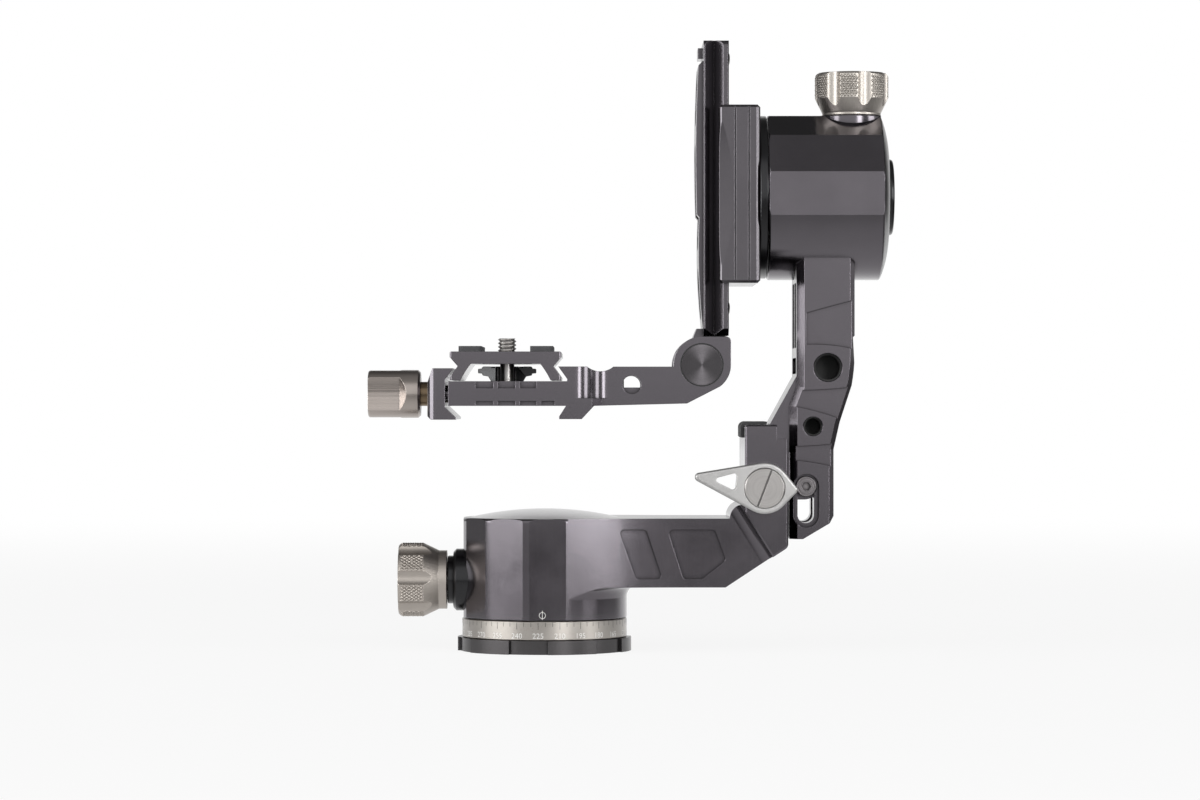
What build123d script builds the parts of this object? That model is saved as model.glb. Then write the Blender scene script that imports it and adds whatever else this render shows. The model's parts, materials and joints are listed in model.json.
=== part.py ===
"""Folding gimbal tripod head, built piece by piece.

Millimetres. X runs from the camera platform to the upright arm, Y runs front to back and Z is up.
The origin lies on the pan axis, on the underside of the base flange.
"""
import os
from math import cos, radians, sin, sqrt

from build123d import *

os.makedirs("parts", exist_ok=True)

# ---------------------------------------------------------------- driving dimensions
# fits, gaps and edges
running_gap = 0.06        # radial play of a shaft in its bearing or bush
slide_gap = 0.15          # play of a sliding part in its guide
joint_gap = 0.3           # gap between faces of two parts that move past each other
blind_room = 1.0          # room left at the blind end of a bore
edge_bevel = 0.3          # bevel that breaks the edges of turned parts
overshoot = 1.0           # how far a cutting form reaches past the face that it cuts

# threads of tripods and cameras
thread_3_8_r = 4.7625
thread_1_4_r = 3.175
thread_mouth = 0.25       # how far a thread's countersink is wider than the thread

# base
flange_r = 30.0
flange_h = 4.7
lobe_count = 6
lobe_notch_depth = 1.0
lobe_notch_angle = 26.0
lobe_phase = -100.0
scale_r = 28.4
scale_h = 6.6
spindle_foot_r = 24.0
spindle_foot_h = 5.0
spindle_r = 10.0
spindle_lead = 0.8
bush_r = 7.5
bush_h = 12.0
base_screw_pitch_r = 18.0
base_screw_count = 3
base_screw_r = 2.0
base_screw_head_r = 3.9
base_screw_len = 9.0
base_screw_socket_r = 1.3
base_screw_socket_h = 1.6

# pan housing
pan_r = 28.5
pan_floor = 11.6
pan_top = 46.0
pan_edge_round = 1.2
pan_facet_half = 27.8     # from the axis to the flats of the housing
pan_facet_angles = (-87.0, -117.0, -147.0, 180.0, 147.0, 117.0, 87.0)
facet_cut_thick = 6.0
pan_bore_r = 16.0
pan_roof = 2.5
bearing_h = 6.0
bearing_shield_deep = 0.4
bearing_shield_share = 0.28   # width of each race, as a share of the bearing's section
pan_lower_bearing_z = 12.8
pan_upper_bearing_z = 31.0
spindle_nut_r = 13.0
spindle_nut_h = 4.0
nut_notch_count = 4
nut_notch_wide = 3.0
nut_notch_deep = 1.2
cap_r = 25.4
cap_seat_depth = 1.0
cap_rise = 2.9

# pan lock
lock_z = 24.3
stud_r = 3.0
shoe_r = 4.8
shoe_len = 9.0
shoe_room = 1.5           # travel of the brake shoe in its guide
collar_r = 10.7
collar_neck_r = 8.3
collar_out = 31.4
collar_neck_out = 33.4
collar_round = 0.5
collar_bevel = 1.0
collar_sunk = 2.0         # depth of the collar's seat behind the housing's flat

# lobed lock knob, used on both axes
knob_r = 12.5
knob_rim_h = 8.9
knob_cone_h = 5.0
knob_foot_r = 10.1
knob_foot_h = 2.7
knob_lobes = 7
flute_depth = 1.3
flute_r = 3.4
knob_edge_bevel = 0.7
knob_dish_r = 8.5
knob_dish_depth = 0.6
knob_end_wall = 3.0       # closed end of a knob beyond its screw
pan_knob_turn = 31.0
tilt_knob_turn = -7.3

# pan arm that carries the hinge block
arm_side_run = 140.0      # radius of the hollow curve of the arm's sides
arm_side_angle = 17.0     # where that curve leaves the round housing, from straight across
pan_arm_floor = 22.5
pan_arm_slant_x = 62.0
pan_arm_cove = 4.0        # hollow round between the arm's underside and the housing
block_half = 27.5
block_left = 68.4
block_right = 83.1
block_top = 78.0
block_toe_x = 77.9
block_toe_z = 33.0
block_low_z = 36.4
block_shoulder = 2.0      # height above the arm at which the block's face turns under
block_corner = 1.0
block_toe_round = 2.2
block_face_bevel = 0.6
block_cove = 4.2          # hollow round between the arm's sides and the block
arm_top_round = 5.0
pocket_slim = ((25.5, 42.3), (34.9, 42.3), (40.6, 25.3), (31.4, 25.3))
pocket_wide = ((42.2, 42.3), (58.3, 42.3), (62.2, 31.8), (54.0, 25.3), (47.6, 25.3))
pocket_depth = 0.9
pocket_round = 1.5

# rubber cap on the hinge block
bumper_thick = 1.0
bumper_reach = 8.0
bumper_drop = 4.5
bumper_half = 13.5
bumper_bevel = 0.4

# fold mechanism
pivot_x = 89.6
pivot_z = 56.9
fold_sweep_r = 19.4       # hollow in which the arm's lower end turns
cheek_inside = 19.4       # half width between the cheeks of the hinge block
channel_left = 76.2
tongue_half = 6.0
tongue_round = 4.8
pivot_r = 2.5
pivot_head_r = 3.65
pivot_head_h = 3.0
pivot_head_bevel = 0.35
pivot_socket_r = 1.6
pivot_socket_h = 1.8
step_x = 79.2
step_h = 4.9
lift_travel = 9.8

# lever that clamps the fold
lever_x = 74.8
lever_z = 56.6
lever_stud_r = 2.5
lever_hub_r = 8.7
lever_base = 28.0
lever_thick = 6.0
lever_edge_round = 0.8
lever_cap_r = 6.9
lever_cap_h = 1.0
lever_cap_proud = 0.6
lever_cap_gap = 0.1
lever_slot_wide = 0.7
lever_slot_deep = 0.7
lever_slot_lean = 21.0
lever_tip_x = 51.3
lever_tip_z = 60.3
lever_tip_r = 1.5
lever_nose_x = 86.0
lever_nose_z = 56.1
lever_nose_r = 1.4
lever_window = ((56.8, 59.6), (65.6, 61.9), (64.9, 55.6))
lever_window_round = 0.9
clamp_shoe_half = 3.6
clamp_shoe_len = 11.0
clamp_shoe_thick = 3.4

# upright arm
arm_half = 19.0
arm_left = 86.4
arm_low_left = 84.0
arm_right = 106.2
arm_floor = 38.9
arm_jog_low = 84.6        # heights between which the left edge steps from low to high
arm_jog_high = 91.0
arm_heel = 4.5            # length of the arm's flat lower end
# points of the right outline: distance in from the arm's right side, and height
arm_chin = (8.6, 44.3)
arm_chin_in = 7.2
arm_chin_z = 46.8
arm_knee_z = 69.6
arm_calf = (5.1, 78.9)
arm_thigh = (1.0, 91.4)
arm_bulge = (0.2, 97.5)
arm_straight_z = 104.0
arm_bevel_left = 2.6
arm_bevel_right = 1.6
relief_depth = 0.6        # shallow hollow in the right side of the arm
relief_low = 97.5
relief_high = 108.4
arm_foot_half = 16.0
foot_left = 77.2
foot_high = 94.6
foot_tip_z = 52.4
foot_wide_top = 68.5
foot_tip_round = 1.2
foot_root = 4.0           # how far the foot runs into the arm
fork_half = 6.5
fork_top = 65.0
slot_half = 2.8
slot_recess_half = 4.3
slot_recess_depth = 3.4
panel_step = 0.5
hole_3_8 = (97.0, 97.5)
hole_1_4 = (91.9, 77.4)
accessory_hole_depth = 12.0
inner_pocket_depth = 4.6
inner_pocket_half = 12.6
inner_pocket_rib = 1.3    # half width of the rib between the two long pockets
inner_pocket_long = (104.3, 126.6)
inner_pocket_short = (95.4, 100.9)
inner_pocket_round = 1.2
band_inset = 0.6          # from the left bevel to the start of the upper band
# recessed bands across the flanks: end heights and rise of the lower arc, then of the upper arc
band_high = ((105.3, 103.4), 0.7, (116.2, 120.9), 0.1)
band_mid = ((84.6, 77.4), 0.9, (89.9, 91.2), -0.5)
band_low = ((66.0, 61.2), 0.8, (70.6, 72.6), -0.4)

# tilt housing
tilt_z = 156.5
tilt_r = 28.65
tilt_left = 76.8
tilt_right = 115.9
tilt_edge_bevel = 0.5
tilt_facet_arc = 30.0
tilt_facet_count = 7
tilt_bore_r = 20.0
tilt_shaft_r = 12.0
tilt_bearing_h = 7.0
tilt_bearing_a_x = 79.0
tilt_bearing_b_x = 92.0
drum_left = 100.0
drum_right = 112.4
drum_r = 16.0
drum_shaft_r = 9.0
tilt_nut_h = 2.2
tilt_nut_r = 14.0
end_cap_plug = 1.5
end_cap_out = 118.4
end_cap_r = 28.1
end_cap_bulge = (0.7, 22.5)   # a point of the crown: in from the cap's face, and radius
button_r = 13.1
button_out = 120.3
button_round = 0.9
tilt_ring_left = 73.7
tilt_ring_right = 76.5
tilt_ring_r = 28.1
tilt_ring_round = 0.4
tilt_lock_x = 106.2
tilt_knob_foot_h = 0.7
tilt_boss_r = 12.2
tilt_boss_top = 184.4
tilt_knob_foot_z = tilt_boss_top + joint_gap
tilt_boss_bevel = 0.4
tilt_shoe_len = 6.0

# clamp that carries the swing rail
clamp_left = 59.7
clamp_right = 73.7
clamp_half_h = 30.3
clamp_near = 26.0
clamp_far = 20.6
clamp_jaw_far = 27.0
clamp_corner = 1.4
clamp_bevel = 0.9
clamp_groove_x = (64.9, 69.6)
clamp_groove_wide = 0.5
clamp_groove_deep = 0.4
clamp_scallop_half = 28.0
clamp_scallop_reach = 4.9
clamp_scallop_deep = 1.5
clamp_screw_y = 9.0
clamp_screw_z = 16.0
clamp_screw_r = 2.0
clamp_screw_head_r = 3.6
clamp_screw_head_h = 2.4
clamp_screw_sunk = 0.4
clamp_screw_gap = 0.1
draw_screw_r = 2.5
draw_screw_tip = 10.0     # from the near face of the clamp to the screw's end
draw_collar_r = 4.2
jaw_guide_r = 2.0
jaw_guide_z = 22.0
jaw_guide_len = 12.0
jaw_guide_sunk = 2.0
clamp_knob_r = 9.5
clamp_knob_near = 30.0
clamp_knob_len = 16.0

# slim knobs of the two plate clamps
slim_scallops = 3
slim_scallop_arc = 86.0   # arc of the rim that each scallop takes
slim_scallop_r = 20.0
slim_scallop_share = 0.74  # share of the knob's length that the scallops take
slim_runout = 2.4
slim_edge_round = 0.9
slim_foot_bevel = 0.8

# dovetail of quick-release plates and rails
dovetail_half = 19.0
dovetail_waist = 15.8

# swing rail
rail_left = 54.6
rail_right = 63.2
rail_waist_x = 58.2
rail_top = 209.3
rail_top_round = 2.3
rail_foot_bevel_z = 2.4
rail_foot_bevel_y = 3.3
rail_seat_bevel_x = 0.4
rail_seat_bevel_y = 0.8
rail_channel_half = 13.0
rail_channel_deep = 1.2
rail_channel_end = 6.0
rib_half = 14.0
# points of the rib: how far proud of the rail's left face, and height above its foot
rib_low_crown = ((1.2, 14.6), (1.4, 40.6))
rib_step = (2.2, 41.6)
rib_high_crown = ((2.5, 67.6), (1.7, 92.6))
rib_top_step = (0.2, 94.2)
rib_reach = 4.0           # how far the windows are cut to the left of the rail
rib_root = 1.0
rib_end = 1.0
rib_bar_proud = 1.5       # short bar above the rib
rib_bar_near = 2.0
rib_bar_h = 4.7
rail_window_half = 7.0
rail_windows = ((5.6, 23.6), (29.6, 66.6), (72.6, 91.6))   # above the rail's foot
stop_screw_end = (5.0, 9.7)   # from the rail's top and from its foot
stop_screw_r = 2.35
stop_screw_shank_r = 1.75
stop_screw_len = 5.0
stop_screw_head_h = 0.9

# hinge of the camera platform
hinge_x = 54.0
hinge_z = 98.4
knuckle_half = 9.6
knuckle_r = 9.2
knuckle_inset = 2.6
knuckle_root = 2.5
knuckle_heel = 2.2        # how far the knuckle's root stands out of the rail's left face
knuckle_toe = 1.4         # how far it stays inside the right face
knuckle_room = 1.0
ear_inside = 10.0
ear_half = 19.0
ear_r = 9.7
ear_flat = 0.1            # how far the ears are cut flat below their round top
ear_top = hinge_z + ear_r - ear_flat
rail_bottom = hinge_z + ear_r + joint_gap   # the rail's foot stands just above the ears
ear_right = 63.9
ear_corner = 1.5
hinge_pin_r = 4.0
hinge_cap_r = 7.0
hinge_cap_h = 1.2

# camera platform
platform_floor = 84.4
platform_top = 97.8
platform_half = 25.0
bed_top = 92.8
bed_left = -32.4
bed_right = 8.0
bed_lip_x = 5.0           # undercut edge of the fixed jaw at the top
bed_lip_z = 93.6
waist_from = 10.6         # where the plan narrows from the bed to the neck
waist_to = 22.0
ledge_top = 87.0
ledge_turn = 16.5
ledge_right = 19.8
hook_tip_x = 5.3
hook_high_z = 80.8
hook_low_z = 79.9
hook_root_x = 7.6
hook_right_x = 13.0
hook_heel_x = 17.2
neck_floor = (48.9, 85.2)
neck_rise = (60.2, 91.0)
neck_round = (62.9, 94.2)
scoop_x = 19.3
scoop_r = 7.1
scoop_deep = 1.6
neck_pocket_x = (24.4, 37.4)
neck_pocket_half = 13.0
neck_pocket_floor = 90.7
neck_pocket_round = 3.0
channel_half = 20.0       # half length of the bed's channel for the camera screw
channel_depth = 2.4
underside_depth = 1.6
post_x = (-23.9, -16.3, -8.8, -1.6, 4.6)   # posts left between the side pockets of the bed
post_half = 0.8
upper_pockets = 3         # pockets above the bed, counted from its left end
side_pocket_deep = 1.4
hole_platform = (30.1, 91.6)
jaw_left = -39.6
jaw_inner = -33.5
jaw_top = 97.2
jaw_bottom = 79.7
jaw_hook_x = -30.8
jaw_crown_x = -37.8
jaw_crown_z = 92.2
jaw_toe_x = -29.8
jaw_toe_z = 80.5
jaw_heel_x = -38.4
jaw_heel_z = 80.9
jaw_throat = (84.0, 93.4, 96.9)
jaw_corner = 3.2
platform_guide_y = 17.0
platform_guide_len = 12.0
platform_knob_r = 8.3
platform_knob_near = -42.8
platform_knob_len = 18.1
platform_screw_r = 3.0
platform_axis_z = 88.5
platform_screw_end = -21.5

# quick-release plate
plate_x = -12.9
plate_half = 19.0
plate_floor = 93.1
plate_top = 102.9
plate_foot_half = 18.9
plate_foot_h = 1.0
plate_waist_z = 97.9
plate_waist_half = 16.3
plate_rim_z = 101.0
plate_edge = 0.4
plate_corner = 0.8
plate_leg = 3.6
arch_top = 98.7
arch_half = 11.8
arch_round = (1.3, 1.8)
pad_x = ((-29.0, -21.2), (-4.6, 3.2))
pad_inset = 2.0
pad_round = 1.5
pad_proud = 1.9
ring_r = 10.1
ring_low = 94.7
ring_high = 98.0
ring_nose_z = 90.9
ring_nose_r = 4.6
ring_root_r = 6.8
camera_shank_r = 2.45
camera_shank_end = 91.2
camera_screw_top = 107.8
camera_screw_bevel = 0.5
camera_screw_gap = 0.4


# ---------------------------------------------------------------- small helpers
def bar_x(x_from, x_to, radius, z, y=0.0, mode=Mode.ADD):
    """Round bar along X through (y, z)."""
    with Locations(Location(((x_from + x_to) / 2, y, z), (0, 90, 0))):
        Cylinder(radius, x_to - x_from, mode=mode)


def bar_y(x, y_from, y_to, radius, z, mode=Mode.ADD):
    """Round bar along Y through (x, z)."""
    with Locations(Location((x, (y_from + y_to) / 2, z), (90, 0, 0))):
        Cylinder(radius, y_to - y_from, mode=mode)


def bar_z(z_from, z_to, radius, x=0.0, y=0.0, mode=Mode.ADD):
    """Round bar along Z through (x, y)."""
    with Locations((x, y, (z_from + z_to) / 2)):
        Cylinder(radius, z_to - z_from, mode=mode)


def block_between(low, high, mode=Mode.ADD):
    """Box between two opposite corners."""
    centre = [(a + b) / 2 for a, b in zip(low, high)]
    with Locations(tuple(centre)):
        Box(*[b - a for a, b in zip(low, high)], mode=mode)


def save(builder, name):
    """Label a finished piece and write it as its own STEP file."""
    builder.part.label = name
    export_step(builder.part, f"parts/{name}.step")


# ================================================================ base
with BuildPart() as flange_notch:
    with BuildSketch():
        Circle(flange_r + lobe_notch_depth)
        Circle(flange_r - lobe_notch_depth, mode=Mode.SUBTRACT)
        with BuildLine():
            notch_x = 2 * flange_r * cos(radians(lobe_notch_angle / 2))
            notch_y = 2 * flange_r * sin(radians(lobe_notch_angle / 2))
            Polyline((0, 0), (notch_x, notch_y), (notch_x, -notch_y), close=True)
        make_face(mode=Mode.INTERSECT)
    extrude(amount=flange_h)

with BuildPart() as base_flange:
    bar_z(0, flange_h, flange_r)
    with PolarLocations(0, lobe_count, start_angle=lobe_phase):
        add(flange_notch.part, mode=Mode.SUBTRACT)
    bar_z(0, flange_h, bush_r, mode=Mode.SUBTRACT)
    with Locations(Location((0, 0, 0), (180, 0, 0))):
        with PolarLocations(base_screw_pitch_r, base_screw_count):
            CounterSinkHole(base_screw_r + joint_gap, base_screw_head_r, depth=flange_h)
save(base_flange, "base_flange")

with BuildPart() as scale_ring:
    bar_z(flange_h, flange_h + scale_h, scale_r)
    chamfer(scale_ring.edges().filter_by(GeomType.CIRCLE), edge_bevel)
    bar_z(flange_h, flange_h + scale_h, spindle_foot_r, mode=Mode.SUBTRACT)
save(scale_ring, "scale_ring")

nut_floor = pan_upper_bearing_z + bearing_h + joint_gap
spindle_top = nut_floor + spindle_nut_h
with BuildPart() as pan_spindle:
    bar_z(flange_h, flange_h + spindle_foot_h, spindle_foot_r)
    bar_z(flange_h, spindle_top, spindle_r)
    chamfer(pan_spindle.edges().sort_by(Axis.Z)[-1], spindle_lead)
    bar_z(flange_h, bush_h, bush_r, mode=Mode.SUBTRACT)
    with PolarLocations(base_screw_pitch_r, base_screw_count):
        with Locations((0, 0, flange_h)):
            Cylinder(base_screw_r, base_screw_len - flange_h,
                     align=(Align.CENTER, Align.CENTER, Align.MIN), mode=Mode.SUBTRACT)
save(pan_spindle, "pan_spindle")

with BuildPart() as thread_bush:
    bar_z(0, bush_h, bush_r)
    bar_z(0, bush_h, thread_3_8_r, mode=Mode.SUBTRACT)
save(thread_bush, "thread_bush")

with BuildPart() as base_screws:
    head_h = base_screw_head_r - base_screw_r
    with PolarLocations(base_screw_pitch_r, base_screw_count):
        with Locations((0, 0, head_h / 2)):
            Cone(base_screw_head_r, base_screw_r, head_h)
        with Locations((0, 0, (head_h + base_screw_len) / 2)):
            Cylinder(base_screw_r, base_screw_len - head_h)
        Cylinder(base_screw_socket_r, base_screw_socket_h,
                 align=(Align.CENTER, Align.CENTER, Align.MIN), mode=Mode.SUBTRACT)
save(base_screws, "base_screws")

with BuildPart() as spindle_nut:
    bar_z(nut_floor, spindle_top, spindle_nut_r)
    bar_z(nut_floor, spindle_top, spindle_r, mode=Mode.SUBTRACT)
    with PolarLocations(spindle_nut_r, nut_notch_count):
        with Locations((0, 0, (nut_floor + spindle_top) / 2)):
            Box(2 * nut_notch_deep, nut_notch_wide, spindle_nut_h, mode=Mode.SUBTRACT)
save(spindle_nut, "spindle_nut")

# ================================================================ pan arm and hinge block
side_centre_x = (pan_r + arm_side_run) * sin(radians(arm_side_angle))
side_centre_y = (pan_r + arm_side_run) * cos(radians(arm_side_angle))
pan_arm_half = side_centre_y - arm_side_run


def arm_plan(inset):
    """Plan of the pan arm: hollow sides that leave the round housing at a tangent."""
    run = arm_side_run + inset
    start_x = side_centre_x - run * sin(radians(arm_side_angle))
    start_y = side_centre_y - run * cos(radians(arm_side_angle))
    mid_x = side_centre_x - run * sin(radians(arm_side_angle / 2))
    mid_y = side_centre_y - run * cos(radians(arm_side_angle / 2))
    half = side_centre_y - run
    with BuildSketch() as plan:
        with BuildLine():
            Polyline((0, -start_y), (start_x, -start_y))
            ThreePointArc((start_x, -start_y), (mid_x, -mid_y), (side_centre_x, -half))
            Polyline((side_centre_x, -half), (block_right, -half), (block_right, half),
                     (side_centre_x, half))
            ThreePointArc((side_centre_x, half), (mid_x, mid_y), (start_x, start_y))
            Polyline((start_x, start_y), (0, start_y), (0, -start_y))
        make_face()
    return plan.sketch


# side view of the pan arm, with the hollow round that runs up into the hinge block
with BuildPart() as arm_side_form:
    with BuildSketch(Plane.XZ):
        with BuildLine():
            shoulder_z = pan_top + arm_top_round
            Polyline((block_left - arm_top_round, pan_top), (0, pan_top), (0, pan_arm_floor),
                     (pan_arm_slant_x, pan_arm_floor), (block_toe_x, block_toe_z),
                     (block_toe_x, shoulder_z + block_shoulder),
                     (block_left, shoulder_z + block_shoulder), (block_left, shoulder_z))
            RadiusArc((block_left, shoulder_z), (block_left - arm_top_round, pan_top), -arm_top_round)
        make_face()
    extrude(amount=block_half, both=True)

with BuildPart() as pan_arm_form:
    extrude(arm_plan(0.0), amount=block_top)
    add(arm_side_form.part, mode=Mode.INTERSECT)

# hollow rounds between the arm's flat sides and the slanted face of the block
face_run = (block_left - block_toe_x, 0, pan_top + block_shoulder - block_toe_z)
with BuildPart() as block_coves:
    for side in (1, -1):
        with BuildSketch(Plane(origin=(block_toe_x, 0, block_toe_z), x_dir=(0, 1, 0), z_dir=face_run)):
            with BuildLine():
                foot = (side * (pan_arm_half + block_cove), 0)
                crown = (side * pan_arm_half, block_cove)
                root = side * (pan_arm_half - overshoot)
                Polyline(crown, (root, block_cove), (root, -block_cove), (foot[0], -block_cove), foot)
                RadiusArc(foot, crown, side * block_cove)
            make_face()
    extrude(amount=block_top)
    add(arm_side_form.part, mode=Mode.INTERSECT)

with BuildPart() as housing_cove:
    with BuildSketch(Plane.XZ):
        with BuildLine():
            Polyline((pan_r + pan_arm_cove, pan_arm_floor),
                     (pan_r + pan_arm_cove, pan_arm_floor + overshoot),
                     (pan_bore_r + overshoot, pan_arm_floor + overshoot),
                     (pan_bore_r + overshoot, pan_arm_floor - pan_arm_cove),
                     (pan_r, pan_arm_floor - pan_arm_cove))
            RadiusArc((pan_r, pan_arm_floor - pan_arm_cove), (pan_r + pan_arm_cove, pan_arm_floor),
                      pan_arm_cove)
        make_face()
    revolve(axis=Axis.Z)
    extrude(arm_plan(0.0), amount=block_top, mode=Mode.INTERSECT)

with BuildPart() as block_form:
    with BuildSketch(Plane.XZ):
        with BuildLine():
            Polyline((block_left, block_top), (block_right, block_top), (block_right, block_low_z),
                     (block_toe_x, block_toe_z), (block_left, pan_top + block_shoulder), close=True)
        make_face()
    extrude(amount=block_half, both=True)
    block_edges = block_form.edges().filter_by(Axis.Y).group_by(Axis.Z)
    fillet(block_edges[1], block_toe_round)
    fillet(block_form.edges().filter_by(Axis.Y).group_by(Axis.Z)[-2:], block_corner)
    chamfer(block_form.faces().filter_by(Axis.Y).edges(), block_face_bevel)

with BuildPart() as arm_pockets:
    with BuildSketch(Plane.XZ):
        with BuildLine():
            Polyline(*pocket_slim, close=True)
        make_face()
        with BuildLine():
            Polyline(*pocket_wide, close=True)
        make_face()
    extrude(amount=block_half, both=True)
    fillet(arm_pockets.edges().filter_by(Axis.Y), pocket_round)
    extrude(arm_plan(pocket_depth), amount=block_top, mode=Mode.SUBTRACT)

pan_bore_top = pan_top - pan_roof
shoe_out = spindle_r + shoe_len
collar_seat = pan_facet_half - collar_sunk
clamp_shoe_floor = cheek_inside + clamp_shoe_thick + joint_gap
clamp_shoe_x = lever_x + clamp_shoe_len / 2 - clamp_shoe_half
with BuildPart() as pan_housing:
    bar_z(pan_floor, pan_top, pan_r)
    fillet(pan_housing.edges().filter_by(GeomType.CIRCLE).sort_by(Axis.Z)[-1], pan_edge_round)
    for angle in pan_facet_angles:
        with PolarLocations(pan_facet_half + facet_cut_thick / 2, 1, start_angle=angle):
            with Locations((0, 0, (pan_floor + pan_top) / 2)):
                Box(facet_cut_thick, pan_r / 2, pan_top - pan_floor, mode=Mode.SUBTRACT)
    add(pan_arm_form.part)
    add(housing_cove.part)
    add(block_coves.part)
    add(block_form.part)
    add(arm_pockets.part, mode=Mode.SUBTRACT)
    # spindle bore and cap seat
    bar_z(pan_floor, pan_bore_top, pan_bore_r, mode=Mode.SUBTRACT)
    bar_z(pan_top - cap_seat_depth, pan_top, cap_r, mode=Mode.SUBTRACT)
    # collar seat, lock stud and shoe guide
    bar_x(-pan_r, -collar_seat, collar_r + slide_gap, lock_z, mode=Mode.SUBTRACT)
    bar_x(-pan_r, -pan_bore_r, stud_r + slide_gap, lock_z, mode=Mode.SUBTRACT)
    bar_x(-shoe_out - shoe_room, 0, shoe_r + slide_gap, lock_z, mode=Mode.SUBTRACT)
    # hollow for the arm's foot and lower end, with the pivot tongue left standing
    with BuildSketch(Plane.XZ.offset(-cheek_inside)):
        with Locations((pivot_x, pivot_z)):
            Circle(fold_sweep_r)
        with Locations(((channel_left + pivot_x) / 2, (pivot_z + block_top) / 2)):
            Rectangle(pivot_x - channel_left, block_top - pivot_z)
    extrude(amount=2 * cheek_inside, mode=Mode.SUBTRACT)
    with BuildSketch(Plane.XZ.offset(-tongue_half)):
        with Locations(((block_left + block_corner + pivot_x) / 2, pivot_z)):
            Rectangle(pivot_x - block_left - block_corner, 2 * tongue_round)
        with Locations((pivot_x, pivot_z)):
            Circle(tongue_round)
    extrude(amount=2 * tongue_half)
    bar_y(pivot_x, -tongue_half, tongue_half, pivot_r, pivot_z, mode=Mode.SUBTRACT)
    # step in which the arm's foot sits
    block_between((step_x, -block_half, block_top - step_h), (block_right, block_half, block_top),
                  mode=Mode.SUBTRACT)
    # lever stud and clamp shoe in the near cheek
    bar_y(lever_x, -block_half, -cheek_inside, lever_stud_r + slide_gap, lever_z, mode=Mode.SUBTRACT)
    with BuildSketch(Plane.XZ.offset(cheek_inside)):
        with Locations((clamp_shoe_x, lever_z)):
            SlotOverall(clamp_shoe_len + 2 * slide_gap, 2 * (clamp_shoe_half + slide_gap))
    extrude(amount=clamp_shoe_floor - cheek_inside, mode=Mode.SUBTRACT)
save(pan_housing, "pan_housing")

with BuildPart() as pan_top_cap:
    dome_r = (cap_r ** 2 + cap_rise ** 2) / (2 * cap_rise)
    with BuildSketch(Plane.XZ):
        with BuildLine():
            Polyline((0, pan_top + cap_rise), (0, pan_top - cap_seat_depth),
                     (cap_r, pan_top - cap_seat_depth), (cap_r, pan_top))
            RadiusArc((cap_r, pan_top), (0, pan_top + cap_rise), -dome_r)
        make_face()
    revolve(axis=Axis.Z)
save(pan_top_cap, "pan_top_cap")


def bearing_ring(inner, outer, height):
    """Shielded ball bearing as one closed ring, with its shields sunk between the races."""
    race = bearing_shield_share * (outer - inner)
    with BuildPart() as ring:
        with BuildSketch(Plane.XZ):
            with Locations(((inner + outer) / 2, 0)):
                Rectangle(outer - inner, height)
                with Locations((0, height / 2), (0, -height / 2)):
                    Rectangle(outer - inner - 2 * race, 2 * bearing_shield_deep, mode=Mode.SUBTRACT)
        revolve(axis=Axis.Z)
    return ring.part


with BuildPart() as pan_bearings:
    for bearing_z in (pan_lower_bearing_z, pan_upper_bearing_z):
        with Locations((0, 0, bearing_z + bearing_h / 2)):
            add(bearing_ring(spindle_r + running_gap, pan_bore_r, bearing_h))
save(pan_bearings, "pan_bearings")

with BuildPart() as pan_knob_collar:
    bar_x(-collar_out, -collar_seat, collar_r, lock_z)
    bar_x(-collar_neck_out, -collar_out, collar_neck_r, lock_z)
    collar_edges = pan_knob_collar.edges().filter_by(GeomType.CIRCLE).group_by(Axis.X)
    chamfer(collar_edges[1].sort_by(SortBy.RADIUS)[-1], collar_bevel)
    fillet(pan_knob_collar.edges().filter_by(GeomType.CIRCLE).sort_by(Axis.X)[0], collar_round)
    bar_x(-collar_neck_out, -collar_seat, stud_r + slide_gap, lock_z, mode=Mode.SUBTRACT)
save(pan_knob_collar, "pan_knob_collar")

with BuildPart() as fold_bumper:
    bumper_left = block_left - bumper_thick
    bumper_top = block_top + bumper_thick
    with BuildSketch(Plane.XZ):
        with BuildLine():
            Polyline((block_left, block_top - block_corner), (block_left, block_top - bumper_drop),
                     (bumper_left, block_top - bumper_drop), (bumper_left, bumper_top),
                     (block_left + bumper_reach, bumper_top), (block_left + bumper_reach, block_top),
                     (block_left + block_corner, block_top))
            RadiusArc((block_left + block_corner, block_top), (block_left, block_top - block_corner),
                      -block_corner)
        make_face()
    extrude(amount=bumper_half, both=True)
    outer_corner = fold_bumper.edges().filter_by(Axis.Y).sort_by_distance((bumper_left, 0, bumper_top))[0]
    fillet(outer_corner, block_corner + bumper_thick)
    chamfer(fold_bumper.edges().filter_by(Axis.Y).sort_by(Axis.Z)[:1]
            + fold_bumper.edges().filter_by(Axis.Y).sort_by(Axis.X)[-1:], bumper_bevel)
save(fold_bumper, "fold_bumper")


# ================================================================ lock knobs
def lobed_knob(bore, foot_h):
    """Seven-lobed lock knob about Z, foot at the origin, rim at the far end."""
    rim_floor = foot_h + knob_cone_h
    rim_end = rim_floor + knob_rim_h
    with BuildPart() as knob:
        with BuildSketch(Plane.XZ):
            with BuildLine():
                Polyline((0, 0), (knob_foot_r, 0), (knob_foot_r, foot_h), (knob_r, rim_floor),
                         (knob_r, rim_end), (0, rim_end), close=True)
            make_face()
        revolve(axis=Axis.Z)
        chamfer(knob.edges().filter_by(GeomType.CIRCLE).sort_by(Axis.Z)[-1], knob_edge_bevel)
        with PolarLocations(knob_r - flute_depth + flute_r, knob_lobes, start_angle=180 / knob_lobes):
            with Locations((0, 0, rim_end / 2)):
                Cylinder(flute_r, rim_end, mode=Mode.SUBTRACT)
        bar_z(rim_end - knob_dish_depth, rim_end, knob_dish_r, mode=Mode.SUBTRACT)
        bar_z(0, rim_end - knob_end_wall, bore, mode=Mode.SUBTRACT)
    return knob.part


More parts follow.
